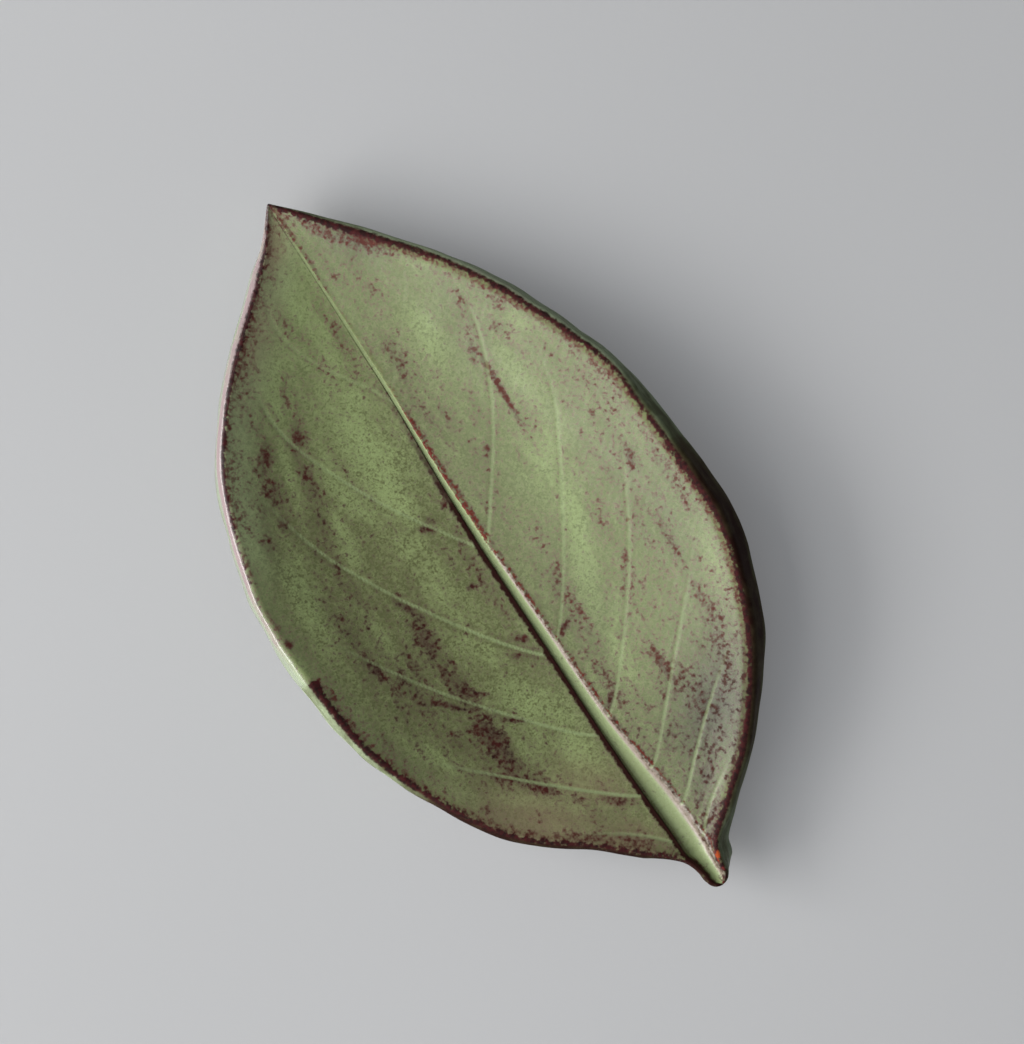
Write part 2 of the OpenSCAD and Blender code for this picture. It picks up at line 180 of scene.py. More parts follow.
# Places where the glaze ran thin and came out plum: x, y, half length along the leaf, half width, turn, strength
PLUM_PATCHES = [
    (-18.6, 40.8, 7.0, 2.3, 3, 1.25),
    (-18.4, 52.0, 7.0, 2.0, 0, 0.90),
    (-18.6, 61.5, 5.0, 2.0, 0, 1.00),
    (-24.0, 45.0, 3.0, 1.4, 10, 0.90),
    (-21.5, 50.5, 4.5, 0.6, 42, 1.35),
    (-28.5, 63.0, 3.5, 1.2, 8, 1.10),
    (-26.0, 56.0, 8.0, 3.0, 3, 0.60),
    (-20.5, 70.0, 6.0, 2.4, 0, 0.30),
    (-18.3, 68.0, 4.0, 0.55, 28, 1.30),
    (-34.5, 53.0, 5.0, 1.4, 16, 0.50),
    (-26.0, 32.5, 1.6, 1.1, 40, 0.85),
    (-19.0, 34.0, 4.5, 1.0, 48, 1.45),
    (-13.8, 42.4, 3.2, 0.6, 48, 1.30),
    (-16.3, 30.0, 4.0, 0.9, 46, 1.50),
    (-6.8, 21.2, 4.0, 0.9, 50, 1.20),
    (-13.0, 18.0, 6.0, 0.9, 50, 0.85),
    (-5.5, 11.5, 2.2, 0.8, 50, 0.55),
    (-21.0, 25.5, 8.0, 2.0, 48, 0.20),
    (-5.0, 53.0, 1.6, 0.7, 50, 1.40),
    (-7.4, 51.2, 1.4, 0.6, 55, 1.30),
    (-7.1, 65.2, 0.6, 0.7, 0, 1.90),
    (-23.8, 102.8, 3.4, 1.3, -40, 1.45),
    (-26.0, 97.0, 3.6, 1.8, -16, 0.90),
    (-27.3, 91.8, 1.6, 1.0, -20, 1.30),
    (-31.8, 90.0, 2.4, 1.6, -10, 0.70),
    (-30.5, 102.5, 2.0, 0.7, -30, 0.80),
    (-34.0, 81.5, 4.0, 1.4, 0, 0.40),
    (-38.0, 74.2, 0.9, 0.7, 0, 1.80),
    (-14.8, 111.0, 4.0, 0.8, -28, 0.80),
    (-17.8, 102.5, 3.0, 1.4, -30, 1.20),
    (-19.8, 96.0, 5.0, 1.6, -12, 0.85),
    (-22.5, 87.5, 6.0, 1.4, -14, 0.70),
    (-24.2, 80.5, 3.5, 0.9, -20, 0.85),
    (-24.8, 76.5, 4.0, 1.8, 10, 0.50),
    (-20.6, 109.0, 3.0, 0.7, -30, 0.70),
    (-13.6, 89.0, 4.0, 0.9, 14, 0.60),
    (-8.2, 77.5, 2.2, 0.6, 48, 1.40),
    (-6.7, 78.4, 1.6, 0.5, 48, 1.40),
    (-3.5, 79.4, 0.5, 0.45, 0, 2.20),
    (15.6, 91.0, 8.5, 0.55, -2, 1.60),
    (15.2, 98.5, 2.0, 0.7, -20, 1.30),
    (8.0, 83.2, 2.2, 0.8, -35, 1.10),
    (9.0, 88.5, 3.0, 1.0, -30, 0.45),
    (25.2, 53.0, 7.0, 1.2, -6, 0.90),
    (24.3, 43.0, 5.0, 1.5, 2, 0.85),
    (27.2, 68.5, 3.0, 1.4, -8, 1.00),
    (18.0, 63.0, 4.0, 1.8, -20, 0.45),
    (17.3, 55.0, 0.8, 0.6, 0, 0.90),
    (22.4, 60.0, 1.0, 0.5, -30, 0.80),
    (12.6, 36.0, 4.2, 0.9, -4, 1.10),
    (1.9, 50.7, 2.0, 0.8, -66, 1.60),
    (1.7, 36.0, 1.6, 0.8, -40, 1.50),
    (5.3, 57.5, 4.5, 1.1, -34, 0.50),
    (4.8, 9.8, 4.8, 1.7, -52, 1.30),
    (4.6, 13.2, 3.0, 0.7, -52, 0.85),
    (3.4, 8.0, 2.6, 1.4, -30, 1.40),
    (9.5, 17.5, 6.0, 1.4, -50, 1.00),
    (17.0, 26.0, 4.5, 1.6, -45, 0.75),
    (19.5, 21.5, 8.0, 1.2, -46, 0.80),
    (22.5, 31.0, 4.0, 1.2, -45, 0.60),
    (7.0, 25.5, 4.0, 1.6, -45, 0.65),
    (10.0, 44.5, 4.0, 0.5, -46, 0.50),
    (22.8, 103.0, 3.5, 1.2, 12, 0.75),
    (21.0, 99.5, 2.6, 1.4, 40, 0.70),
    (18.5, 107.0, 2.0, 1.4, 0, 0.45),
    (26.0, 78.5, 1.2, 0.9, 0, 0.70),
    (3.2, 103.0, 7.0, 1.0, -8, 0.50),
    (5.8, 92.0, 2.5, 0.8, 0, 0.50),
    (10.5, 123.5, 5.5, 1.5, 38, 1.60),
    (8.4, 123.5, 1.5, 0.8, 0, 0.80),
    (4.5, 130.0, 7.0, 1.1, 35, 0.95),
    (0.2, 134.5, 4.0, 0.8, 0, 1.30),
    (-6.0, 130.0, 6.0, 0.9, -45, 0.45),
    (-13.5, 122.0, 7.0, 1.4, -48, 0.85),
    (-20.5, 115.5, 5.0, 1.2, -44, 0.80),
    (-8.5, 120.5, 5.0, 1.0, 4, 0.55),
    (-2.6, 116.0, 6.0, 0.9, 0, 0.45),
    (31.5, 65.0, 9.0, 1.8, 0, 0.65),
    (14.0, 25.5, 12.0, 5.0, -45, 0.70),
    (4.4, 43.0, 15.0, 1.8, -6, 0.58),
    (24.0, 38.0, 10.0, 3.4, -24, 0.78),
    (24.5, 105.0, 8.0, 2.6, 26, 0.88),
    (-17.4, 56.0, 2.5, 1.4, 0, 0.90),
    (-4.0, 74.0, 2.0, 1.3, 0, 0.60),
    (31.5, 82.0, 16.0, 2.6, 4, 0.55),
    (7.0, 121.0, 8.0, 3.0, 20, 0.30),
    (-29.0, 70.0, 12.0, 3.0, 0, 0.35),
    (-24.0, 57.0, 14.0, 3.0, 0, 0.40),
    (-5.0, 68.0, 9.0, 1.6, 0, 0.40),
    (24.0, 64.0, 16.0, 5.0, -8, 0.34),
    (21.0, 50.0, 9.0, 3.5, -20, 0.28),
    (25.0, 88.0, 10.0, 4.0, 0, 0.25),
    (0.4, 126.0, 8.0, 0.6, 0, 0.85),
    (-25.5, 41.0, 5.0, 1.4, 12, 0.55),
    (-12.0, 25.0, 3.0, 1.0, 48, 0.80),
    (-36.8, 63.0, 4.0, 0.9, 10, 0.90),
    (-16.4, 49.4, 2.6, 0.6, 45, 1.30),
    (-8.5, 14.6, 4.5, 0.7, 50, 1.15),
    (-12.0, 21.0, 9.0, 2.6, 50, 0.30),
    (12.5, 32.0, 5.0, 2.6, -30, 0.60),
    (18.5, 113.0, 5.0, 2.0, 32, 0.50),
    (27.0, 88.0, 10.0, 2.4, 6, 0.25),
    (-18.5, 98.0, 12.0, 2.0, -14, 0.30),
    (-25.5, 96.0, 9.0, 1.8, -14, 0.35),
    (-26.5, 71.0, 7.0, 1.6, 8, 0.40),
    (-22.5, 84.0, 6.0, 1.5, -14, 0.25),
    (-15.5, 107.5, 6.0, 1.4, -28, 0.35),
]

# Places where the green stays clean and pale
CLEAN_PATCHES = [
    (-9.0, 94.0, 17.0, 4.6, -4, 1.2),
    (-15.5, 91.0, 9.0, 3.0, 12, 1.0),
    (-22.4, 98.0, 9.0, 1.0, -18, 0.9),
    (-32.0, 77.0, 10.0, 3.4, -10, 1.0),
    (-13.0, 26.0, 9.0, 4.0, 45, 0.70),
    (-15.0, 113.0, 10.0, 4.0, -40, 0.9),
    (-5.0, 123.0, 11.0, 4.0, -20, 1.0),
    (-31.0, 98.0, 9.0, 1.8, -30, 0.5),
    (-10.0, 41.5, 9.0, 4.4, 30, 0.9),
    (-12.0, 55.5, 6.0, 3.0, 20, 0.8),
    (-12.0, 66.0, 9.0, 2.4, 0, 0.7),
    (-30.0, 39.0, 6.0, 2.6, 36, 0.8),
    (-35.0, 58.0, 5.0, 1.2, 10, 0.4),
    (-20.5, 30.5, 5.0, 1.6, 48, 0.9),
    (12.5, 62.0, 14.0, 2.2, -20, 1.2),
    (8.5, 43.0, 8.0, 2.0, -24, 0.9),
    (29.0, 46.0, 8.0, 1.8, -16, 0.9),
    (20.0, 88.0, 11.0, 3.2, 0, 0.6),
    (10.5, 105.0, 9.0, 3.0, 0, 0.9),
    (24.5, 98.0, 4.0, 1.6, 24, 0.9),
    (16.0, 77.0, 8.0, 4.0, -40, 0.8),
    (16.0, 117.0, 7.0, 2.0, 36, 0.7),
    (-6.0, 111.0, 8.0, 2.4, -16, 0.8),
    (-7.5, 32.5, 7.0, 3.0, 10, 1.1),
    (-21.0, 83.0, 8.0, 1.6, -8, 1.0),
    (-24.5, 66.0, 6.0, 1.4, 0, 0.8),
    (-10.5, 85.0, 6.0, 2.6, 10, 1.8),
    (-4.0, 117.0, 7.0, 1.6, 0, 0.9),
    (-9.0, 114.0, 9.0, 3.0, -10, 0.45),
    (-7.0, 84.0, 10.0, 2.5, 0, 0.40),
    (-15.0, 83.0, 6.0, 2.0, -10, 0.30),
    (-10.0, 52.0, 4.0, 2.6, 0, 0.30),
    (-14.0, 37.0, 3.0, 3.0, 0, 0.40),
    (-6.0, 28.0, 6.0, 1.6, 0, 0.50),
    (-17.0, 22.6, 4.0, 1.2, 50, 0.90),
    (-34.0, 95.0, 5.0, 1.5, -10, 0.40),
    (-24.0, 111.0, 4.0, 1.6, -38, 0.40),
    (-3.0, 132.0, 4.0, 1.3, -25, 0.90),
    (-34.0, 92.0, 9.0, 2.0, -14, 0.80),
    (-28.5, 104.0, 7.0, 1.8, -30, 0.80),
    (-9.0, 124.0, 9.0, 4.0, -48, 0.70),
    (-23.0, 113.0, 7.0, 2.0, -42, 0.60),
    (-12.0, 78.0, 5.0, 3.0, 0, 0.70),
    (-6.0, 92.0, 9.0, 1.6, 0, 0.80),
    (-9.0, 118.0, 4.0, 2.0, 0, 0.70),
    (-27.5, 43.0, 7.0, 2.0, 26, 0.80),
    (-38.4, 70.5, 3.2, 1.0, 0, 0.90),
]

# Places where the haze is rosy, and where it is dark
ROSY_PATCHES = [
    (-20.0, 25.5, 13.0, 6.0, 48, 0.52),
    (-9.0, 15.0, 7.0, 4.0, 50, 0.40),
    (-10.0, 26.0, 8.0, 5.0, 45, 0.32),
    (-29.0, 37.0, 6.0, 4.0, 30, 0.16),
    (-14.0, 121.5, 12.0, 3.5, -46, 0.30),
    (-4.0, 132.0, 5.0, 2.6, -38, 0.60),
]
SHADE_PATCHES = [
    (16.0, 25.5, 13.0, 7.5, -45, 0.66),
    (9.0, 25.0, 9.0, 4.5, -30, 0.34),
    (7.5, 16.5, 6.0, 3.5, -45, 0.46),
    (8.5, 126.0, 6.5, 4.5, 38, 0.34),
    (28.0, 60.0, 14.0, 5.0, 0, 0.12),
    (8.0, 50.0, 9.0, 5.0, -10, 0.10),
    (15.0, 104.0, 12.0, 6.0, 0, 0.10),
]


# The leaf's shape

def curve(place, column):
    """Smooth curve through one column of the stations, as in the CAD part."""
    place = np.asarray(place, float)
    at, value = STATIONS[:, 0], STATIONS[:, column]
    low = np.maximum(np.arange(len(at)) - 1, 0)
    high = np.minimum(np.arange(len(at)) + 1, len(at) - 1)
    tangent = (value[high] - value[low]) / (at[high] - at[low])
    i = np.clip(np.searchsorted(at, place, side="right") - 1, 0, len(at) - 2)
    gap = at[i + 1] - at[i]
    s = (place - at[i]) / gap
    return ((1 + 2 * s) * (1 - s) ** 2 * value[i] + s * (1 - s) ** 2 * gap * tangent[i]
            + s ** 2 * (3 - 2 * s) * value[i + 1] + s ** 2 * (s - 1) * gap * tangent[i + 1])


def ease(a, b, value):
    s = np.clip((value - a) / (b - a), 0, 1)
    return s * s * (3 - 2 * s)


def half_width(side, t):
    s = 1 - t * LEAF_L / STEM_END_R
    end = np.where(s > 0, np.sqrt(np.maximum(1 - s * s, 0)), 1)
    return HALF_W[side] * curve(t, WIDTH + side) * end


def midrib_x(t):
    return MIDRIB_BOW * curve(t, BOW)


def groove_half(t):
    narrow = GROOVE_SHARE * np.minimum(half_width(LEFT, t), half_width(RIGHT, t))
    return np.minimum(MIDRIB_W / 2 * curve(t, GROOVE), narrow)


def groove_deep(t):
    return MIDRIB_DEPTH * groove_half(t) / (MIDRIB_W / 2)


def right_profile(s):
    """Depth of the midrib groove's right half, with a round shoulder, from 1 in the middle to 0."""
    left_over = 1 - SHOULDER_START ** 3
    shoulder = 2 * left_over / (3 * SHOULDER_START ** 2)
    rest = np.clip((SHOULDER_START + shoulder - s) / shoulder, 0, 1)
    return np.where(s < SHOULDER_START, 1 - np.minimum(s, 1) ** 3, left_over * rest ** 2)


def boat(t):
    up = np.maximum((t - BELLY_PLACE) / (1 - BELLY_PLACE), 0)
    down = np.maximum((BELLY_PLACE - t) / BELLY_PLACE, 0)
    return TIP_RISE * up ** BOAT_POWER + STEM_RISE * down ** BOAT_POWER


def bowl(side, t, q):
    return RISE[side] * half_width(side, t) / HALF_W[side] * q ** BOWL_POWER


def face_at(side, x, t):
    """A point of the smooth face, and the share of the half width that it lies at."""
    q = np.minimum(np.abs(x - midrib_x(t)) / np.maximum(half_width(side, t), 1e-9), 1)
    return np.stack([x, t * LEAF_L, boat(t) + bowl(side, t, q)], -1), q


def vein_place(side, v, u):
    arch = (1 - math.exp(-(v / ARCH_TURN[side]) ** ARCH_FIRMNESS[side])) * (1 - ARCH_LOSS[side] * v * v)
    arch *= ease(STRAIGHT_UNTIL, ARCHED_FROM, v)
    return v + (1 - v) * arch * u ** (ARCH_BEND[side] * math.exp(-BEND_LOSS[side] * v))


def vein_line(side, v, count=140):
    """A side vein seen from above, as points and shares of the way from the midrib to the rim."""
    u = np.linspace(0, 1, count)
    t = vein_place(side, v, u)
    inner = groove_half(t)
    x = midrib_x(t) + SIGN[side] * (inner + (half_width(side, t) - inner) * u)
    return np.stack([x, t * LEAF_L], -1), u


def waves(seed, length, count=9):
    """A smooth random surface over the leaf, from -1 to 1 or so: waves of about one length in all directions."""
    rng = np.random.default_rng(seed)
    turn = rng.uniform(0, 2 * math.pi, count)
    pitch = 2 * math.pi / (length * rng.uniform(0.7, 1.5, count))
    phase = rng.uniform(0, 2 * math.pi, count)

    def height(x, y):
        total = 0
        for a, k, p in zip(turn, pitch, phase):
            total = total + np.sin(k * (x * math.cos(a) + y * math.sin(a)) + p)
        return total / math.sqrt(count)
    return height


# Distance fields

def nearest(lines, points):
    """Distance in plan from each point to the nearest point of the lines, and that point's value."""
    tree = KDTree(sum(len(line) for line, _ in lines))
    values = []
    for line, value in lines:
        for place, worth in zip(line, value):
            tree.insert((place[0], place[1], 0), len(values))
            values.append(worth)
    tree.balance()
    gap = np.empty(len(points))
    found = np.empty(len(points))
    for i, p in enumerate(points):
        _, index, gap[i] = tree.find((p[0], p[1], 0))
        found[i] = values[index]
    return gap, found


def blobs(patches, x, y):
    total = np.zeros(len(x))
    for cx, cy, length, width, turn, strength in patches:
        a = math.radians(turn)
        along = ((y - cy) * math.cos(a) - (x - cx) * math.sin(a)) / length
        across = ((x - cx) * math.cos(a) + (y - cy) * math.sin(a)) / width
        total = np.maximum(total, strength * np.exp(-(along ** 2 + across ** 2)))
    return total


# Sheets: the face, the cut edge and the border underneath

class Sheet:
    """The leaf's surface at a height above the clay, from the midrib over the rim to the waxed line."""

    def __init__(self, places, blade, groove, lift, fill, edge_steps, detail):
        self.t = places
        self.lift = lift
        self.points, self.faces, self.fields = [], [], []
        self.rims = [np.stack(self.rim(side), 0) for side in SIDES]
        self.outs = [self.outward(side) for side in SIDES]
        self.leans = [STEM_LEAN + (curve(places, LEAN + side) - STEM_LEAN) * ease(*LEAN_START, places)
                      for side in SIDES]
        self.make_face(blade, groove, fill, detail)
        self.make_edge(edge_steps, detail)

    def rim(self, side):
        x = midrib_x(self.t) + SIGN[side] * half_width(side, self.t)
        return face_at(side, x, self.t)[0]

    def end_point(self, t):
        return np.array([float(midrib_x(t)), t * LEAF_L, float(boat(t))])

    def outward(self, side):
        line = np.vstack([self.end_point(0.0), self.rims[side], self.end_point(1.0)])
        along = line[2:, :2] - line[:-2, :2]
        along /= np.linalg.norm(along, axis=1)[:, None]
        return SIGN[side] * np.stack([along[:, 1], -along[:, 0], np.zeros(len(along))], -1)

    def through(self, side, q):
        """Direction from the face into the slab, for all rows and shares q of the half width."""
        lean = self.leans[side][:, None] * q ** (BOWL_POWER - 1)
        flat = lean[..., None] * self.outs[side][:, None, :]
        flat[..., 2] -= np.sqrt(1 - lean * lean)
        return flat

    def add(self, points, wall):
        first = sum(len(p) for p in self.points)
        self.points.append(points.reshape(-1, 3))
        self.fields.append(np.broadcast_to(np.asarray(wall, float), points.shape[:-1]).reshape(-1))
        return first + np.arange(int(np.prod(points.shape[:-1]))).reshape(points.shape[:-1])

    def grid(self, index):
        a, b = index[:-1, :-1].ravel(), index[:-1, 1:].ravel()
        c, d = index[1:, 1:].ravel(), index[1:, :-1].ravel()
        self.faces.extend(np.stack([a, b, c, d], -1).tolist())

    def fan(self, point, row):
        self.faces.extend([[int(point), int(a), int(b)] for a, b in zip(row[:-1], row[1:])])

    def make_face(self, blade, groove, fill, detail):
        t = self.t[:, None]
        inner = groove_half(t)
        columns = []
        for side, shares in ((LEFT, blade[::-1]), (RIGHT, blade)):
            reach = inner + (half_width(side, t) - inner) * shares[None, :]
            face, q = face_at(side, midrib_x(t) + SIGN[side] * reach, np.broadcast_to(t, reach.shape))
            columns.append(face - self.through(side, q) * self.lift)
        fill = fill * (1 - TIP_FILL * ease(*TIP_FILLED, t))
        columns[RIGHT][..., 2] -= fill * groove_deep(t) * right_profile(1 + (half_width(RIGHT, t) - inner)
                                                                        * blade[None, :] / inner)
        s = groove[None, :]
        x = midrib_x(t) + inner * s
        floor = []
        for side in SIDES:
            face, _ = face_at(side, x, np.broadcast_to(t, x.shape))
            floor.append(face)
        middle = np.where((s < 0)[..., None], floor[LEFT], floor[RIGHT])
        drop = fill * groove_deep(t) * np.where(s < 0, 1 - np.abs(s) ** LEFT_STEEPNESS, right_profile(s))
        middle[..., 2] += self.lift - drop
        face = np.concatenate([columns[0], middle, columns[1]], 1)
        flat = face.reshape(-1, 3)
        if detail:
            flat[:, 2] += detail(flat)
        face = flat.reshape(face.shape)
        index = self.add(face, 0.0)
        ends = self.add(np.stack([self.end_point(0.0), self.end_point(1.0)]) + [0, 0, self.lift], 0.0)
        self.grid(index)
        self.fan(ends[0], index[0][::-1])
        self.fan(ends[1], index[-1])
        self.face_index = index
        self.face_points = face
        self.ends = ends

    def loop(self):
        """Rim points in one round with their outward directions, leans and rounding shares."""
        share = [np.minimum(half_width(side, self.t) / FULL_ROUNDING_W, 1) for side in SIDES]
        rows = list(range(len(self.t)))
        entries = []

        def corner(place, start, end, low, high, size):
            a0, a1 = math.atan2(start[1], start[0]), math.atan2(end[1], end[0])
            while a1 < a0:
                a1 += 2 * math.pi
            if a1 - a0 > math.pi:
                a1 -= 2 * math.pi
            for i in range(1, CORNER_STEPS + 1):
                w = i / (CORNER_STEPS + 1)
                a = a0 + (a1 - a0) * w
                entries.append((place, np.array([math.cos(a), math.sin(a), 0]), low + (high - low) * w, size,
                                None))

        for k in rows:
            entries.append((self.rims[LEFT][k], self.outs[LEFT][k], self.leans[LEFT][k], share[LEFT][k],
                            self.face_index[k, 0]))
        corner(self.end_point(1.0), self.outs[LEFT][-1], self.outs[RIGHT][-1], self.leans[LEFT][-1],
               self.leans[RIGHT][-1], share[LEFT][-1])
        for k in rows[::-1]:
            entries.append((self.rims[RIGHT][k], self.outs[RIGHT][k], self.leans[RIGHT][k], share[RIGHT][k],
                            self.face_index[k, -1]))
        corner(self.end_point(0.0), self.outs[RIGHT][0], self.outs[LEFT][0], self.leans[LEFT][0],
               self.leans[LEFT][0], share[LEFT][0])
        return entries

    def make_edge(self, steps, detail):
        entries = self.loop()
        count = len(entries)
        rim = np.array([e[0] for e in entries])
        out = np.array([e[1] for e in entries])
        lean = np.array([e[2] for e in entries])[:, None]
        size = np.array([e[3] for e in entries])[:, None]
        upright = np.sqrt(1 - lean * lean)
        outward = upright * out + np.array([0, 0, 1.0]) * lean
        down = lean * out - np.array([0, 0, 1.0]) * upright
        crest, lower = CREST_R * size, LOWER_R * size
        n_crest, n_wall, n_lower, n_border = steps
        section = []
        for a in np.linspace(0, math.pi / 2, n_crest + 1):
            section.append(((crest + self.lift) * math.sin(a), crest - (crest + self.lift) * math.cos(a)))
        start, end = crest, SLAB_T - lower
        for w in np.linspace(0, 1, n_wall + 1)[1:-1]:
            section.append((crest + self.lift, start + (end - start) * w))
        for a in np.linspace(0, math.pi / 2, n_lower + 1):
            section.append((crest - lower + (lower + self.lift) * math.cos(a),
                            SLAB_T - lower + (lower + self.lift) * math.sin(a)))
        rings = [rim + across * outward + below * down for across, below in section]
        depths = [below[:, 0] + self.lift for _, below in section]
        if detail:
            rings = [rings[0]] + [self.worn(ring, out, j, len(rings)) for j, ring in enumerate(rings[1:], 1)]
        waxed = self.waxed()
        last = rings[-1]
        for w in np.linspace(0, 1, n_border + 1)[1:]:
            rings.append(last * (1 - w) + waxed * w)
            depths.append(np.full(count, SLAB_T + self.lift + w))
        known = np.array([-1 if e[4] is None else e[4] for e in entries])
        end_of = np.where(np.arange(count) < len(self.t) + CORNER_STEPS, self.ends[1], self.ends[0])
        first = np.where(known >= 0, known, end_of)
        rows = [first]
        for ring, depth in zip(rings[1:], depths[1:]):
            rows.append(self.add(ring, depth))
        index = np.stack(rows)
        index = np.concatenate([index, index[:, :1]], 1)
        self.grid(index[::-1])
        self.waxed_loop = rows[-1]
        self.waxed_points = rings[-1]

    def worn(self, ring, out, j, total):
        """Slight unevenness of the hand-cut wall, always inwards."""
        strength = 0.22 * math.sin(math.pi * j / total)
        push = strength * (0.5 + 0.5 * WALL_WAVES(ring[:, 0] + 2.3 * ring[:, 2], ring[:, 1]))
        return ring - out * np.clip(push, 0, 0.4)[:, None]

    def waxed(self):
        """The line underneath where the glaze stops."""
        places = []
        for side in SIDES:
            width = half_width(side, self.rims[side][:, 1] / LEAF_L)
            border = np.minimum(WAX_BORDER, BORDER_SHARE * width)[:, None]
            flat = self.rims[side] - border * self.outs[side]
            t = flat[:, 1] / LEAF_L
            face, q = face_at(side, flat[:, 0], t)
            places.append(face + self.through(side, q[:, None])[:, 0] * (SLAB_T + self.lift))
        tip = np.mean([places[LEFT][-1], places[RIGHT][-1]], 0)
        stem = np.mean([places[LEFT][0], places[RIGHT][0]], 0)
        return np.vstack([places[LEFT], np.repeat(tip[None], CORNER_STEPS, 0), places[RIGHT][::-1],
                          np.repeat(stem[None], CORNER_STEPS, 0)])

    def all_points(self):
        return np.vstack(self.points)

    def all_depths(self):
        return np.concatenate(self.fields)


def zip_loops(first, first_points, second, second_points):
    """Triangles between two closed loops that start side by side and run the same way."""
    def shares(points):
        ring = np.vstack([points, points[:1]])
        steps = np.linalg.norm(np.diff(ring, axis=0), axis=1)
        return np.concatenate([[0], np.cumsum(steps)]) / steps.sum()

    a, b = shares(first_points), shares(second_points)
    i = j = 0
    faces = []
    while i < len(first) or j < len(second):
        take_first = j >= len(second) or (i < len(first) and a[i + 1] <= b[j + 1])
        p, q = first[i % len(first)], second[j % len(second)]
        if take_first:
            faces.append([int(p), int(first[(i + 1) % len(first)]), int(q)])
            i += 1
        else:
            faces.append([int(p), int(second[(j + 1) % len(second)]), int(q)])
            j += 1
    return faces


def welded(points, faces):
    """Points that lie together become one, and faces that lose their area go."""
    keys = np.round(points * 2000).astype(np.int64)
    _, keep, new = np.unique(keys, axis=0, return_index=True, return_inverse=True)
    new = new.reshape(-1)
    clean = []
    for face in faces:
        ring = []
        for i in face:
            n = int(new[i])
            if not ring or (n != ring[-1] and n != ring[0]):
                ring.append(n)
        if len(ring) > 2 and len(set(ring)) == len(ring):
            clean.append(ring)
    return keep, clean


def piece(name, points, faces, fields=None):
    """A mesh object from points in leaf millimetres, with a value of each field at each point."""
    keep, faces = welded(points, faces)
    mesh = bpy.data.meshes.new(name)
    mesh.from_pydata(((points[keep] - MIDDLE) * TRIM * MM).tolist(), [], faces)
    for field, values in (fields or {}).items():
        attribute = mesh.attributes.new(field, "FLOAT", "POINT")
        attribute.data.foreach_set("value", values[keep].astype(np.float32))
    mesh.validate()
    mesh.polygons.foreach_set("use_smooth", [True] * len(mesh.polygons))
    mesh.update()
    obj = bpy.data.objects.new(name, mesh)
    bpy.context.scene.collection.objects.link(obj)
    outward_faces(obj)
    return obj


def outward_faces(obj):
    b = bmesh.new()
    b.from_mesh(obj.data)
    bmesh.ops.recalc_face_normals(b, faces=b.faces)
    if b.calc_volume(signed=True) < 0:
        bmesh.ops.reverse_faces(b, faces=b.faces)
    b.to_mesh(obj.data)
    b.free()


WALL_WAVES = waves(7, 9.0)
BLADE_WAVES = waves(3, 24.0)
RIPPLES = waves(5, 6.0)

fine_places = np.concatenate([
    [0.08, 0.25, 0.5, 0.8, 1.15, 1.55], np.arange(2.0, 136.7, 0.42), [137.0, 137.3, 137.6, 137.85],
]) / LEAF_L
fine_blade = np.concatenate([[0, 0.002, 0.004, 0.007], np.linspace(0.0119, 0.985, 83), [0.9925, 1.0]])
fine_groove = np.array([-0.97, -0.92, -0.85, -0.75, -0.6, -0.4, -0.2, 0, 0.2, 0.4, 0.6, 0.75, 0.85, 0.92, 0.97])
coarse_places = fine_places[1::4]
coarse_blade = np.linspace(0, 1, 22)
coarse_groove = np.array([-0.9, -0.6, 0, 0.6, 0.9])

vein_lines = []
for left, right, left_strength, right_strength in VEINS:
    for side, v, strength in ((LEFT, left, left_strength), (RIGHT, right, right_strength)):
        if strength:
            line, u = vein_line(side, v)
            vein_lines.append((line, strength * (1 - ease(*VEIN_FADE, u))))


def glaze_detail(points):
    """Height of the glazed face above the smooth one: side veins, the leaf's waves and small ripples."""
    gap, strength = nearest(vein_lines, points)
    profile = np.where(gap < VEIN_HALF, 0.5 + 0.5 * np.cos(math.pi * np.minimum(gap / VEIN_HALF, 1)), 0)
    x, y = points[:, 0], points[:, 1]
    side = np.where(x < midrib_x(y / LEAF_L), LEFT, RIGHT)
    width = np.where(side == LEFT, half_width(LEFT, y / LEAF_L), half_width(RIGHT, y / LEAF_L))
    q = np.abs(x - midrib_x(y / LEAF_L)) / np.maximum(width, 1e-6)
    calm = (1 - ease(0.75, 0.98, q)) * ease(0.02, 0.2, q) * ease(2, 8, width)
    relief = 0.10 * BLADE_WAVES(x, y * 0.6) + 0.02 * RIPPLES(x, y)
    return -VEIN_DEPTH * strength * profile * ease(0.6, 2, width) + calm * relief


glaze_sheet = Sheet(fine_places, fine_blade, fine_groove, GLAZE_T, 1 - POOLING, (6, 7, 5, 4), glaze_detail)
inner_sheet = Sheet(coarse_places, coarse_blade, coarse_groove, 0.0, 1.0, (3, 3, 2, 2), None)


def by_side(x, y, column):
    """A column of the rim's tones for the left side, and the next one for the right."""
    tones = [np.interp(y, RIM_TONES[:, 0], RIM_TONES[:, column + side]) for side in SIDES]
    return np.where(x < midrib_x(np.clip(y / LEAF_L, 0, 1)), *tones)


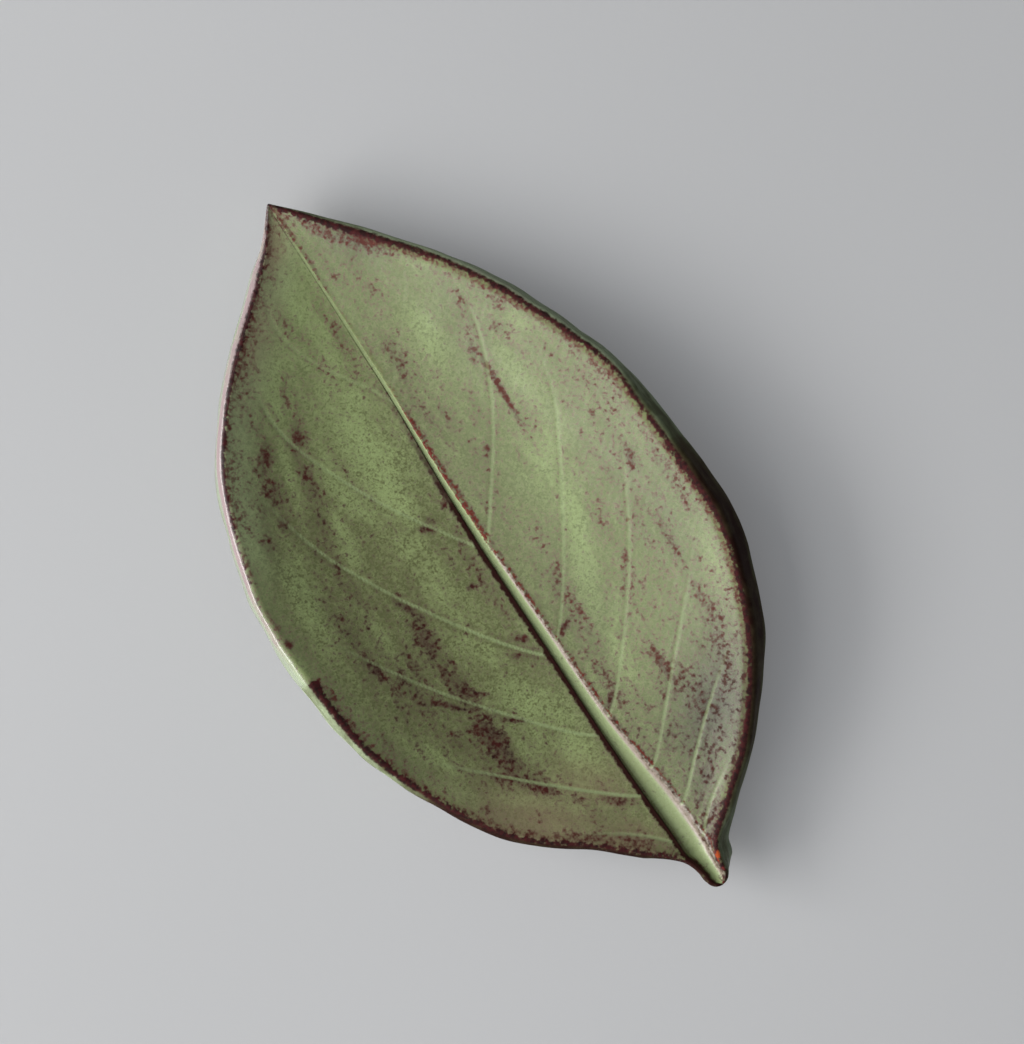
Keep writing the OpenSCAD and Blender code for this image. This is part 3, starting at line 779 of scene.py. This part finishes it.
def glaze_fields(points, depths):
    """What the glaze's material needs to know at each point."""
    x, y = points[:, 0], points[:, 1]
    vein_gap, vein_strength = nearest(vein_lines, points)
    rims = [(glaze_sheet.rims[side][:, :2], np.ones(len(glaze_sheet.t))) for side in SIDES]
    rim_gap, _ = nearest(rims, points)
    crest_r = CREST_R + GLAZE_T
    over_crest = crest_r * np.arccos(np.clip(1 - depths / crest_r, -1, 1))
    t = np.clip(y / LEAF_L, 0, 1)
    return {
        "vein_gap": vein_gap,
        "vein_strength": vein_strength,
        "rim_gap": np.where(depths > 0, 0, rim_gap),
        "wall_depth": depths,
        "rib_gap": np.abs(x - midrib_x(t)) - groove_half(t),
        "rib_side": (x - midrib_x(t)) / np.maximum(groove_half(t), 0.05),
        "plum": blobs(PLUM_PATCHES, x, y),
        "clean": blobs(CLEAN_PATCHES, x, y),
        "rust": blobs(RUST_PATCHES, x, y),
        "rosy": blobs(ROSY_PATCHES, x, y),
        "shade": blobs(SHADE_PATCHES, x, y),
        "place_y": y,
        "lip_place": np.where(depths > 0, -over_crest, rim_gap) - by_side(x, y, 1),
        "margin": by_side(x, y, 3),
        "wall_shading_and_tone": by_side(x, y, 5),
        "dull": by_side(x, y, 7),
        # Near the tip, paler is partly painted light on the left slope that faces away from the lamps
        "paler": np.maximum.reduce([ease(*PALER_FROM, x), ease(*PALER_TIP, y), 0.5 * ease(*PALER_STEM, y),
                                    0.8 * ease(*PALER_EDGE, rim_gap) * (x < midrib_x(t))]),
        "milky": ease(*MILKY_EDGE, rim_gap) * ease(*MILKY_FROM, y) * (x < midrib_x(t)),
    }


def make_glaze():
    outer, inner = glaze_sheet.all_points(), inner_sheet.all_points()
    faces = list(glaze_sheet.faces)
    faces += [[i + len(outer) for i in face] for face in inner_sheet.faces]
    faces += zip_loops(glaze_sheet.waxed_loop, glaze_sheet.waxed_points,
                       inner_sheet.waxed_loop + len(outer), inner_sheet.waxed_points)
    points = np.vstack([outer, inner])
    depths = np.concatenate([glaze_sheet.all_depths(), inner_sheet.all_depths()])
    return piece("leaf_glaze", points, faces, glaze_fields(points, depths))


def make_clay():
    """The bare underside inside the waxed line, with the hidden slab above it."""
    sheet = inner_sheet
    n = len(sheet.t)
    left_index = sheet.waxed_loop[:n]
    right_index = sheet.waxed_loop[n + CORNER_STEPS:2 * n + CORNER_STEPS][::-1]
    shares = np.linspace(-1, 1, 33)[1:-1]
    flat = {}
    for side in SIDES:
        width = half_width(side, sheet.rims[side][:, 1] / LEAF_L)
        border = np.minimum(WAX_BORDER, BORDER_SHARE * width)[:, None]
        flat[side] = sheet.rims[side] - border * sheet.outs[side]
    root_t = (flat[LEFT][:, 1] + flat[RIGHT][:, 1]) / 2 / LEAF_L
    root = np.stack([midrib_x(root_t), root_t * LEAF_L], -1)
    grid = []
    for c in shares:
        side = LEFT if c < 0 else RIGHT
        place = root + (flat[side][:, :2] - root) * abs(c)
        face, q = face_at(side, place[:, 0], place[:, 1] / LEAF_L)
        point = face + sheet.through(side, q[:, None])[:, 0] * SLAB_T
        rough = 0.06 * RIPPLES(point[:, 0] * 1.7, point[:, 1] * 1.7) + 0.08
        point[:, 2] += np.clip(rough, 0, 0.3) * ease(1, 0.85, abs(c))
        grid.append(point)
    grid = np.stack(grid, 1)
    base = sheet.all_points()
    index = len(base) + np.arange(grid.shape[0] * grid.shape[1]).reshape(grid.shape[:2])
    index = np.concatenate([left_index[:, None], index, right_index[:, None]], 1)
    faces = list(sheet.faces)
    a, b = index[:-1, :-1].ravel(), index[:-1, 1:].ravel()
    c, d = index[1:, 1:].ravel(), index[1:, :-1].ravel()
    faces.extend(np.stack([d, c, b, a], -1).tolist())
    tip, stem = sheet.waxed_loop[n], sheet.waxed_loop[-1]
    faces.extend([[int(tip), int(p), int(q)] for p, q in zip(index[-1][:-1], index[-1][1:])])
    faces.extend([[int(stem), int(q), int(p)] for p, q in zip(index[0][:-1], index[0][1:])])
    return piece("clay_leaf", np.vstack([base, grid.reshape(-1, 3)]), faces)


glaze = make_glaze()
clay = make_clay()


def make_foot(name, dx, y, seed):
    """A nub of clay pressed on by hand: round, a little uneven, soft at its lower edge, flaring at the joint."""
    rng = np.random.default_rng(seed)
    cx = float(midrib_x(y / LEAF_L)) + dx
    under = BVHTree.FromObject(clay, bpy.context.evaluated_depsgraph_get())
    around = 48
    phase = rng.uniform(0, 2 * math.pi, 3)
    angles = np.linspace(0, 2 * math.pi, around, endpoint=False)
    uneven = 1 - 0.03 * (1 + np.sin(2 * angles + phase[0])) - 0.015 * (1 + np.sin(3 * angles + phase[1]))
    radius = FOOT_D / 2
    profile = [(0.0, 0.0), (0.45, 0.0), (0.8, 0.0), (0.9, 0.03), (0.955, 0.1), (0.985, 0.22), (1.0, 0.4),
               (0.99, 0.6), (0.985, 0.8), (1.01, 0.94)]
    floor_z = MIDDLE[2]
    points = [np.array([cx, y, floor_z])]
    rows = []
    for share, height in profile[1:]:
        row = []
        for a, w in zip(angles, uneven):
            x0, y0 = cx + share * radius * w * math.cos(a), y + share * radius * w * math.sin(a)
            start = Vector(((x0 - MIDDLE[0]) * MM, (y0 - MIDDLE[1]) * MM, 0))
            hit = under.ray_cast(start, Vector((0, 0, 1)))[0]
            top = (hit.z if hit else FOOT_H * MM) / MM
            row.append(len(points))
            points.append(np.array([x0, y0, floor_z + top * height]))
        rows.append(row)
    top_row = []
    for a, w in zip(angles, uneven):
        x0, y0 = cx + 1.04 * radius * w * math.cos(a), y + 1.04 * radius * w * math.sin(a)
        start = Vector(((x0 - MIDDLE[0]) * MM, (y0 - MIDDLE[1]) * MM, 0))
        hit = under.ray_cast(start, Vector((0, 0, 1)))[0]
        top_row.append(len(points))
        points.append(np.array([x0, y0, floor_z + (hit.z if hit else FOOT_H * MM) / MM]))
    rows.append(top_row)
    start = Vector(((cx - MIDDLE[0]) * MM, (y - MIDDLE[1]) * MM, 0))
    hit = under.ray_cast(start, Vector((0, 0, 1)))[0]
    centre = len(points)
    points.append(np.array([cx, y, floor_z + (hit.z if hit else FOOT_H * MM) / MM]))
    faces = []
    ring = lambda row: zip(row, row[1:] + row[:1])
    faces += [[0, b, a] for a, b in ring(rows[0])]
    for low, high in zip(rows[:-1], rows[1:]):
        faces += [[a, b, d, c] for (a, b), (c, d) in zip(ring(low), ring(high))]
    faces += [[centre, a, b] for a, b in ring(rows[-1])]
    return piece(name, np.array(points), faces)


feet = {name: make_foot(name + "_nub", dx, y, 11 + i) for i, (name, (dx, y)) in enumerate(FEET.items())}


# Materials

class Shader:
    """A material's nodes, with short calls for what the glaze and the clay need."""

    def __init__(self, name):
        self.material = bpy.data.materials.new(name)
        self.material.use_nodes = True
        self.tree = self.material.node_tree
        self.tree.nodes.clear()

    def node(self, kind, **settings):
        node = self.tree.nodes.new(kind)
        for key, value in settings.items():
            setattr(node, key, value)
        return node

    def join(self, source, socket):
        if isinstance(source, bpy.types.NodeSocket):
            self.tree.links.new(source, socket)
        elif isinstance(source, tuple) and len(source) == 3 and socket.type == "RGBA":
            socket.default_value = (*source, 1)
        else:
            socket.default_value = source

    def math(self, operation, a, b=0.0, clamp=False):
        node = self.node("ShaderNodeMath", operation=operation, use_clamp=clamp)
        self.join(a, node.inputs[0])
        self.join(b, node.inputs[1])
        return node.outputs[0]

    def mul(self, a, b):
        return self.math("MULTIPLY", a, b)

    def plus(self, a, b):
        return self.math("ADD", a, b)

    def smooth(self, value, low, high, start=0.0, end=1.0):
        node = self.node("ShaderNodeMapRange", interpolation_type="SMOOTHSTEP")
        self.join(value, node.inputs["Value"])
        for key, number in (("From Min", low), ("From Max", high), ("To Min", start), ("To Max", end)):
            node.inputs[key].default_value = number
        return node.outputs[0]

    def mix(self, share, a, b):
        node = self.node("ShaderNodeMix", data_type="RGBA", clamp_factor=True)
        self.join(share, node.inputs[0])
        self.join(a, node.inputs[6])
        self.join(b, node.inputs[7])
        return node.outputs[2]

    def field(self, name):
        return self.node("ShaderNodeAttribute", attribute_type="GEOMETRY", attribute_name=name).outputs["Fac"]

    def millimetres(self, stretch=(1, 1, 1), turn=0.0):
        """Object coordinates in millimetres, divided by stretch."""
        coordinates = self.node("ShaderNodeTexCoord").outputs["Object"]
        mapping = self.node("ShaderNodeMapping")
        self.join(coordinates, mapping.inputs["Vector"])
        mapping.inputs["Scale"].default_value = [1 / MM / s for s in stretch]
        mapping.inputs["Rotation"].default_value = (0, 0, turn)
        return mapping.outputs[0]

    def noise(self, vector, size, detail=3.0, roughness=0.55, distortion=0.0):
        node = self.node("ShaderNodeTexNoise")
        self.join(vector, node.inputs["Vector"])
        node.inputs["Scale"].default_value = 1 / size
        node.inputs["Detail"].default_value = detail
        node.inputs["Roughness"].default_value = roughness
        node.inputs["Distortion"].default_value = distortion
        return node.outputs["Fac"]

    def dots(self, vector, spacing):
        """Distance to the nearest of many scattered points, in shares of their spacing."""
        node = self.node("ShaderNodeTexVoronoi", feature="F1")
        self.join(vector, node.inputs["Vector"])
        node.inputs["Scale"].default_value = 1 / spacing
        return node.outputs["Distance"]

    def weave(self, vector, pitch, directions, waver):
        """Canvas print: two sets of threads, wavering a little, from -1 to 1."""
        shift = self.node("ShaderNodeTexNoise")
        self.join(vector, shift.inputs["Vector"])
        shift.inputs["Scale"].default_value = 1 / (4 * pitch)
        shift.inputs["Detail"].default_value = 1
        off = self.node("ShaderNodeVectorMath", operation="MULTIPLY_ADD")
        self.join(shift.outputs["Color"], off.inputs[0])
        off.inputs[1].default_value = (waver, waver, 0)
        self.join(vector, off.inputs[2])
        threads = []
        for x, y in directions:
            dot = self.node("ShaderNodeVectorMath", operation="DOT_PRODUCT")
            self.join(off.outputs[0], dot.inputs[0])
            dot.inputs[1].default_value = (x * 2 * math.pi / pitch, y * 2 * math.pi / pitch, 0)
            threads.append(self.math("SINE", dot.outputs["Value"]))
        return self.mul(self.plus(*threads), 0.5)

    def ramp(self, value, stops):
        node = self.node("ShaderNodeValToRGB")
        self.join(value, node.inputs[0])
        elements = node.color_ramp.elements
        while len(elements) < len(stops):
            elements.new(0.5)
        for element, (place, colour) in zip(elements, stops):
            element.position = place
            element.color = (*colour, 1)
        return node.outputs[0]

    def bump(self, height, distance, normal=None):
        node = self.node("ShaderNodeBump")
        node.inputs["Strength"].default_value = 1
        node.inputs["Distance"].default_value = distance
        self.join(height, node.inputs["Height"])
        if normal is not None:
            self.join(normal, node.inputs["Normal"])
        return node.outputs[0]

    def finish(self, colour, roughness, normal, gloss=0.5, **sockets):
        shader = self.node("ShaderNodeBsdfPrincipled")
        self.join(colour, shader.inputs["Base Color"])
        self.join(roughness, shader.inputs["Roughness"])
        self.join(normal, shader.inputs["Normal"])
        self.join(gloss, shader.inputs["Specular IOR Level"])
        for key, value in sockets.items():
            shader.inputs[key.replace("_", " ")].default_value = value
        output = self.node("ShaderNodeOutputMaterial")
        self.tree.links.new(shader.outputs[0], output.inputs[0])
        return self.material


WEAVE_PITCH = 1.23
WEAVE_DIRECTIONS = ((0.6345, -0.7729), (-0.5093, -0.8606))


def glaze_material():
    """Sage green glaze that pools pale in the grooves and breaks to burgundy where it ran thin."""
    s = Shader("breaking_glaze")
    mm = s.millimetres()
    y = s.field("place_y")
    weave = s.weave(mm, WEAVE_PITCH, WEAVE_DIRECTIONS, 0.7)
    cloud = s.noise(s.millimetres(stretch=(1, 2.6, 1)), 9.0, 3, 0.55)
    streak = s.noise(s.millimetres(stretch=(1, 4.5, 1)), 2.2, 4, 0.62)
    mottle = s.noise(mm, 2.4, 4, 0.62)
    cells = s.noise(mm, 0.85, 2, 0.55)
    dots = s.dots(mm, 0.85)
    speck = s.noise(mm, 0.80, 3, 0.65)
    fine = s.noise(mm, 0.40, 1, 0.5)
    vein_gap, vein = s.field("vein_gap"), s.field("vein_strength")
    rim_gap, wall = s.field("rim_gap"), s.field("wall_depth")
    rib_gap, rib_side = s.field("rib_gap"), s.field("rib_side")
    plum, clean = s.field("plum"), s.field("clean")
    margin, lip_place = s.field("margin"), s.field("lip_place")
    paler, rosy = s.field("paler"), s.field("rosy")
    face = s.smooth(wall, 0.0, 0.4, 1, 0)
    far_from_tip = s.smooth(y, 90, 106, 1, 0)
    # The stretch of the midrib, up to y 64–71, whose right wall carries the highlight and its painted pinkish
    # tint
    highlit_stretch = s.smooth(y, 64, 71, 1, 0)

    # Green: greyer where the glaze is thinner, clean and bright where it is thick
    tone = s.plus(s.mul(cloud, 0.30), s.mul(mottle, 0.40))
    tone = s.plus(tone, s.plus(s.mul(cells, 0.80), -0.30))
    tone = s.plus(tone, s.mul(s.plus(fine, -0.5), 0.8))
    tone = s.plus(tone, s.mul(clean, 0.16))
    green = s.ramp(tone, [(0.34, (0.135, 0.150, 0.060)), (0.50, (0.222, 0.262, 0.108)),
                          (0.68, (0.320, 0.405, 0.168))])
    green = s.mix(s.mul(paler, 0.34), green, (0.285, 0.370, 0.160))
    green = s.mix(s.mul(s.field("milky"), 0.40), green, (0.400, 0.480, 0.270))

    # Pooled glaze in the grooves
    in_vein = s.mul(s.smooth(vein_gap, 0.08, 0.44, 1, 0), vein)
    in_vein = s.mul(in_vein, s.smooth(streak, 0.3, 0.55, 0.80, 1))
    in_rib = s.mul(s.smooth(rib_side, -0.78, -0.62), s.smooth(rib_side, 0.62, 0.85, 1, 0))
    in_rib = s.mul(in_rib, s.smooth(y, 96, 112, 1, 0.55))
    # The midrib's floor: pale pooled glaze, painted paler still as painted light against the shade in the groove
    colour = s.mix(in_rib, green, (0.330, 0.405, 0.190))
    # A pinkish tint on the midrib's right wall in that stretch, under the lamps' highlight: partly the thin
    # glaze's own pink, partly painted highlight
    right_wall = s.mul(s.smooth(rib_side, 0.42, 0.66), s.smooth(rib_side, 1.12, 1.27, 1, 0))
    painted_highlight_tint = s.mul(right_wall, s.mul(highlit_stretch, 0.85))
    colour = s.mix(painted_highlight_tint, colour, (0.330, 0.245, 0.225))

    # Thin glaze: on the crest, beside the grooves, and in patches
    crest = s.smooth(lip_place, -0.3, 1.6, 0.75, 0)
    edge = s.mul(s.smooth(rim_gap, 0.5, 5.0, 0.32, 0), face)
    vein_edge = s.mul(s.mul(s.smooth(vein_gap, 0.25, 0.6), s.smooth(vein_gap, 0.6, 1.6, 1, 0)), vein)
    rib_edge = s.mul(s.smooth(rib_gap, -0.3, 0.05), s.smooth(rib_gap, 0.30, 1.3, 1, 0))
    rib_edge = s.mul(s.math("MAXIMUM", rib_edge, s.mul(right_wall, s.smooth(y, 64, 71))), far_from_tip)
    thin = s.math("MAXIMUM", s.mul(s.plus(crest, edge), margin), s.mul(vein_edge, 0.38))
    thin = s.math("MAXIMUM", thin, s.mul(rib_edge, 0.95))
    thin = s.math("MAXIMUM", thin, plum)
    thin = s.plus(thin, s.smooth(paler, 0, 1, 0.08, 0.14))
    thin = s.math("SUBTRACT", thin, s.mul(clean, 0.40))
    thin = s.math("SUBTRACT", thin, s.mul(in_rib, 0.9))
    density = s.plus(thin, s.mul(s.plus(streak, -0.5), 2.0))
    density = s.plus(density, s.mul(s.plus(cloud, -0.5), 1.0))
    density = s.plus(density, s.mul(s.plus(mottle, -0.5), 1.1))
    density = s.plus(density, s.mul(s.mul(weave, 0.05), face))
    grain = s.plus(s.mul(s.plus(cells, -0.5), 2.5), s.mul(s.plus(fine, -0.5), 1.0))
    grain = s.plus(grain, s.mul(s.math("SUBTRACT", 0.42, dots), 0.6))
    blend = s.plus(s.mul(grain, 1.3), s.mul(s.plus(fine, -0.5), 1.4))
    haze = s.smooth(s.plus(density, blend), -0.45, 1.15, 0, 0.92)
    most = s.plus(s.mul(s.math("MAXIMUM", s.plus(plum, -1), 0), 0.9), 0.80)
    cover = s.math("MINIMUM", s.mul(density, 0.88), most)
    spots = s.smooth(s.plus(cover, grain), 0.36, 1.32)
    haze_colour = s.mix(paler, (0.118, 0.092, 0.055), (0.166, 0.156, 0.090))
    plum_colour = s.ramp(mottle, [(0.35, (0.024, 0.007, 0.007)), (0.65, (0.068, 0.014, 0.013))])
    haze_colour = s.mix(s.smooth(plum, 0.35, 1.1, 0, 0.6), haze_colour, (0.095, 0.058, 0.040))
    colour = s.mix(haze, colour, haze_colour)
    blush = s.mul(s.smooth(s.plus(fine, s.mul(cells, 0.6)), 0.80, 0.96), s.smooth(density, -0.3, 0.5))
    colour = s.mix(s.mul(blush, s.mul(paler, 0.45)), colour, (0.260, 0.150, 0.120))
    colour = s.mix(rosy, colour, (0.330, 0.235, 0.150))
    colour = s.mix(s.field("shade"), colour, (0.035, 0.032, 0.022))
    plum_colour = s.mix(s.mul(s.mul(paler, 0.5), s.smooth(y, 25, 45)), plum_colour, (0.170, 0.036, 0.033))
    plum_colour = s.mix(s.mul(rosy, 1.2), plum_colour, (0.120, 0.022, 0.022))
    colour = s.mix(s.mul(spots, s.smooth(paler, 0, 1, 0.95, 0.85)), colour, plum_colour)
    lip_line = s.mul(s.smooth(lip_place, -0.6, 1.0, 1, 0), margin)
    lip_line = s.smooth(s.plus(lip_line, s.mul(grain, 0.50)), 0.42, 0.92)
    lip_colour = s.ramp(speck, [(0.40, (0.024, 0.009, 0.010)), (0.62, (0.068, 0.014, 0.016))])
    colour = s.mix(s.mul(lip_line, 0.97), colour, lip_colour)
    colour = s.mix(s.mul(in_vein, s.smooth(paler, 0, 1, 0.88, 0.5)), colour, (0.330, 0.420, 0.205))

    # The midrib's edges, where the glaze slid off: the left one nearly bare, painted near black, partly its own
    # thin burgundy glaze and partly painted shade of the groove's left wall; the right one in red specks
    bank = s.plus(rib_gap, s.mul(grain, -0.36))
    left_bank = s.mul(s.smooth(bank, 0.52, 1.02, 1, 0), s.smooth(rib_side, -1.00, -0.80, 1, 0))
    left_bank = s.mul(left_bank, s.smooth(s.plus(y, s.mul(mottle, 20)), 86, 108, 1, 0))
    colour = s.mix(s.mul(left_bank, 0.98), colour, (0.024, 0.006, 0.005))
    right_bank = s.mul(s.smooth(bank, 0.44, 0.86, 1, 0),
                       s.smooth(s.plus(rib_side, s.mul(highlit_stretch, -0.62)), 0.50, 0.65))
    right_bank = s.mul(right_bank, s.smooth(s.plus(speck, s.mul(s.plus(streak, -0.5), 0.8)), 0.47, 0.56))
    colour = s.mix(s.mul(right_bank, s.mul(far_from_tip, 0.9)), colour, (0.150, 0.026, 0.020))
    rust = s.smooth(s.plus(s.field("rust"), s.mul(s.plus(speck, -0.5), 1.6)), 0.35, 0.7)
    colour = s.mix(rust, colour, (0.42, 0.075, 0.020))

    # The cut edge below the crest, from nearly black to pale green, with painted light and shade in its tone:
    # darker on the right where it faces away from the lamps, paler near its lower rim for light from around, and
    # pink near the crest on the upper left, partly its thin glaze and partly painted highlight
    low_wall = s.smooth(s.plus(wall, s.mul(s.plus(speck, -0.5), 0.6)), 0.12, 0.45)
    wall_shading_and_tone = s.plus(s.field("wall_shading_and_tone"), s.mul(s.plus(s.noise(mm, 5.0, 4, 0.6), -0.5), 0.6))
    wall_shading_and_tone = s.plus(wall_shading_and_tone, s.mul(s.plus(mottle, -0.5), 0.4))
    wall_shading_and_tone = s.plus(wall_shading_and_tone, s.mul(s.plus(streak, -0.5), 0.6))
    # Paler towards the cut edge's lower rim: painted light bounced up from below
    wall_shading_and_tone = s.plus(wall_shading_and_tone, s.smooth(wall, 3.6, 5.2, 0, 0.28))
    # Tones above 1 turn pink near the crest: partly the thin glaze's own colour, partly painted highlight
    pink_and_highlight = s.math("MAXIMUM", s.plus(wall_shading_and_tone, -1), 0)
    wall_shading_and_tone = s.math("SUBTRACT", wall_shading_and_tone, s.mul(pink_and_highlight, s.smooth(wall, 1.0, 2.2, 0, 1.25)))
    wall_colour = s.ramp(s.mul(wall_shading_and_tone, 0.5), [(0.0, (0.028, 0.011, 0.008)), (0.15, (0.075, 0.058, 0.030)),
                                                 (0.3, (0.145, 0.160, 0.085)), (0.5, (0.370, 0.445, 0.285)),
                                                 (0.75, (0.345, 0.262, 0.268))])
    colour = s.mix(low_wall, colour, wall_colour)

    # Dull where the glaze is thinnest: along parts of the rim, and on the midrib's right wall near the tip
    lip = s.mul(s.field("dull"), s.smooth(rim_gap, 0.3, 1.8, 1, 0))
    dull = s.math("MAXIMUM", lip, s.mul(right_wall, s.smooth(y, 64, 71, 0, 0.8)))
    height = s.plus(s.mul(s.mul(weave, face), 0.005), s.mul(speck, 0.016))
    height = s.plus(height, s.mul(mottle, 0.05))
    normal = s.bump(height, MM)
    rough = s.mul(s.smooth(speck, 0.3, 0.8, 0.24, 0.38), s.plus(s.math("MINIMUM", lip, 0), 1))
    dry = s.math("MAXIMUM", s.mul(spots, face), s.mul(lip_line, s.smooth(s.field("dull"), -0.2, 0.1)))
    dry = s.math("MAXIMUM", dry, s.math("MAXIMUM", left_bank, right_bank))
    dry = s.math("MAXIMUM", dry, s.mul(low_wall, s.smooth(wall_shading_and_tone, 0.15, 0.45, 1, 0)))
    dull = s.math("MAXIMUM", dull, s.mul(dry, 0.9))
    rough = s.math("MAXIMUM", rough, s.mul(dull, 0.6))
    return s.finish(colour, rough, normal, s.smooth(dull, 0, 1, 0.5, 0.05), IOR=1.5)


def clay_material():
    """Bare fired stoneware: warm brown, gritty, with the print of the canvas that it was rolled on."""
    s = Shader("bare_stoneware")
    mm = s.millimetres()
    weave = s.weave(mm, WEAVE_PITCH, WEAVE_DIRECTIONS, 0.5)
    cloud = s.noise(mm, 14.0, 3)
    grit = s.noise(mm, 0.5, 3, 0.7)
    colour = s.ramp(cloud, [(0.35, (0.245, 0.135, 0.080)), (0.65, (0.340, 0.200, 0.120))])
    colour = s.mix(s.smooth(grit, 0.60, 0.72), colour, (0.12, 0.065, 0.045))
    colour = s.mix(s.smooth(grit, 0.38, 0.28), colour, (0.46, 0.32, 0.21))
    height = s.plus(s.mul(weave, 0.03), s.mul(grit, 0.08))
    return s.finish(colour, 0.82, s.bump(height, MM), IOR=1.5)


def floor_material():
    """A plain pale floor, with some of its paleness shown to the camera alone."""
    s = Shader("pale_floor")
    mm = s.millimetres()
    tone = s.ramp(s.noise(mm, 260.0, 2), [(0.3, (0.385, 0.390, 0.400)), (0.7, (0.415, 0.420, 0.430))])
    path = s.node("ShaderNodeLightPath")
    glow = s.mul(s.math("MAXIMUM", path.outputs["Is Camera Ray"], path.outputs["Is Glossy Ray"]), 0.15)
    material = s.finish(tone, 0.9, s.bump(s.noise(mm, 1.5, 2), MM * 0.02), 0.1)
    shader = next(node for node in s.tree.nodes if node.type == "BSDF_PRINCIPLED")
    shader.inputs["Emission Color"].default_value = (0.96, 0.97, 1.0, 1)
    s.tree.links.new(glow, shader.inputs["Emission Strength"])
    return material


glaze.data.materials.append(glaze_material())
stoneware = clay_material()
clay.data.materials.append(stoneware)
for nub in feet.values():
    nub.data.materials.append(stoneware)

for obj, node, slot in ((glaze, "glaze_coat", "breaking_glaze"), (clay, "clay_body", "bare_stoneware")):
    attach(obj, "root")
    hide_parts(node)
for node, nub in feet.items():
    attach(nub, "root")
    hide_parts(node)


# Floor, light and camera

def make_floor(half=2.0):
    mesh = bpy.data.meshes.new("floor")
    mesh.from_pydata([(-half, -half, 0), (half, -half, 0), (half, half, 0), (-half, half, 0)], [], [(0, 1, 2, 3)])
    floor = bpy.data.objects.new("floor", mesh)
    bpy.context.scene.collection.objects.link(floor)
    mesh.materials.append(floor_material())


def make_light(name, direction, distance, width, height, power, colour):
    data = bpy.data.lights.new(name, "AREA")
    data.shape = "RECTANGLE"
    data.size = width
    data.size_y = height
    data.energy = power
    data.color = colour
    lamp = bpy.data.objects.new(name, data)
    away = Vector(direction).normalized()
    lamp.location = away * distance
    lamp.rotation_euler = away.to_track_quat("Z", "Y").to_euler()
    lamp.visible_camera = False
    bpy.context.scene.collection.objects.link(lamp)


def make_world():
    world = bpy.data.worlds.new("studio")
    bpy.context.scene.world = world
    world.use_nodes = True
    tree = world.node_tree
    tree.nodes.clear()
    path = tree.nodes.new("ShaderNodeLightPath")
    seen = tree.nodes.new("ShaderNodeMath")
    seen.operation = "MAXIMUM"
    tree.links.new(path.outputs["Is Camera Ray"], seen.inputs[0])
    tree.links.new(path.outputs["Is Glossy Ray"], seen.inputs[1])
    dim, pale = tree.nodes.new("ShaderNodeBackground"), tree.nodes.new("ShaderNodeBackground")
    dim.inputs[0].default_value = (0.93, 0.96, 1.0, 1)
    dim.inputs[1].default_value = 0.07
    pale.inputs[0].default_value = (0.95, 0.97, 1.0, 1)
    pale.inputs[1].default_value = 0.22
    mix = tree.nodes.new("ShaderNodeMixShader")
    output = tree.nodes.new("ShaderNodeOutputWorld")
    tree.links.new(seen.outputs[0], mix.inputs[0])
    tree.links.new(dim.outputs[0], mix.inputs[1])
    tree.links.new(pale.outputs[0], mix.inputs[2])
    tree.links.new(mix.outputs[0], output.inputs[0])


def make_camera():
    """Straight above the dish, with the leaf's tip to the upper left."""
    data = bpy.data.cameras.new("photo_view")
    data.sensor_width = 36
    data.lens = 36 * 2415.8 / 1044
    data.clip_start = 0.01
    camera = bpy.data.objects.new("photo_view", data)
    camera.location = (0.00644, 0.00185, 0.42)
    camera.rotation_euler = (0, 0, -math.atan2(0.553574, 0.832800))
    bpy.context.scene.collection.objects.link(camera)
    bpy.context.scene.camera = camera


make_floor()
make_light("window", (-0.93, 0.36, math.tan(math.radians(33))), 1.1, 1.6, 1.1, 12.2, (1.0, 0.985, 0.96))
make_light("low_sky", (-0.91, 0.42, math.tan(math.radians(29))), 1.1, 1.0, 0.34, 9.4, (1.0, 0.985, 0.96))
make_light("sky", (-0.42, 0.12, 1.0), 1.3, 1.1, 1.1, 3.05, (0.90, 0.96, 1.0))
make_world()
make_camera()
bpy.context.scene.view_settings.view_transform = "Standard"
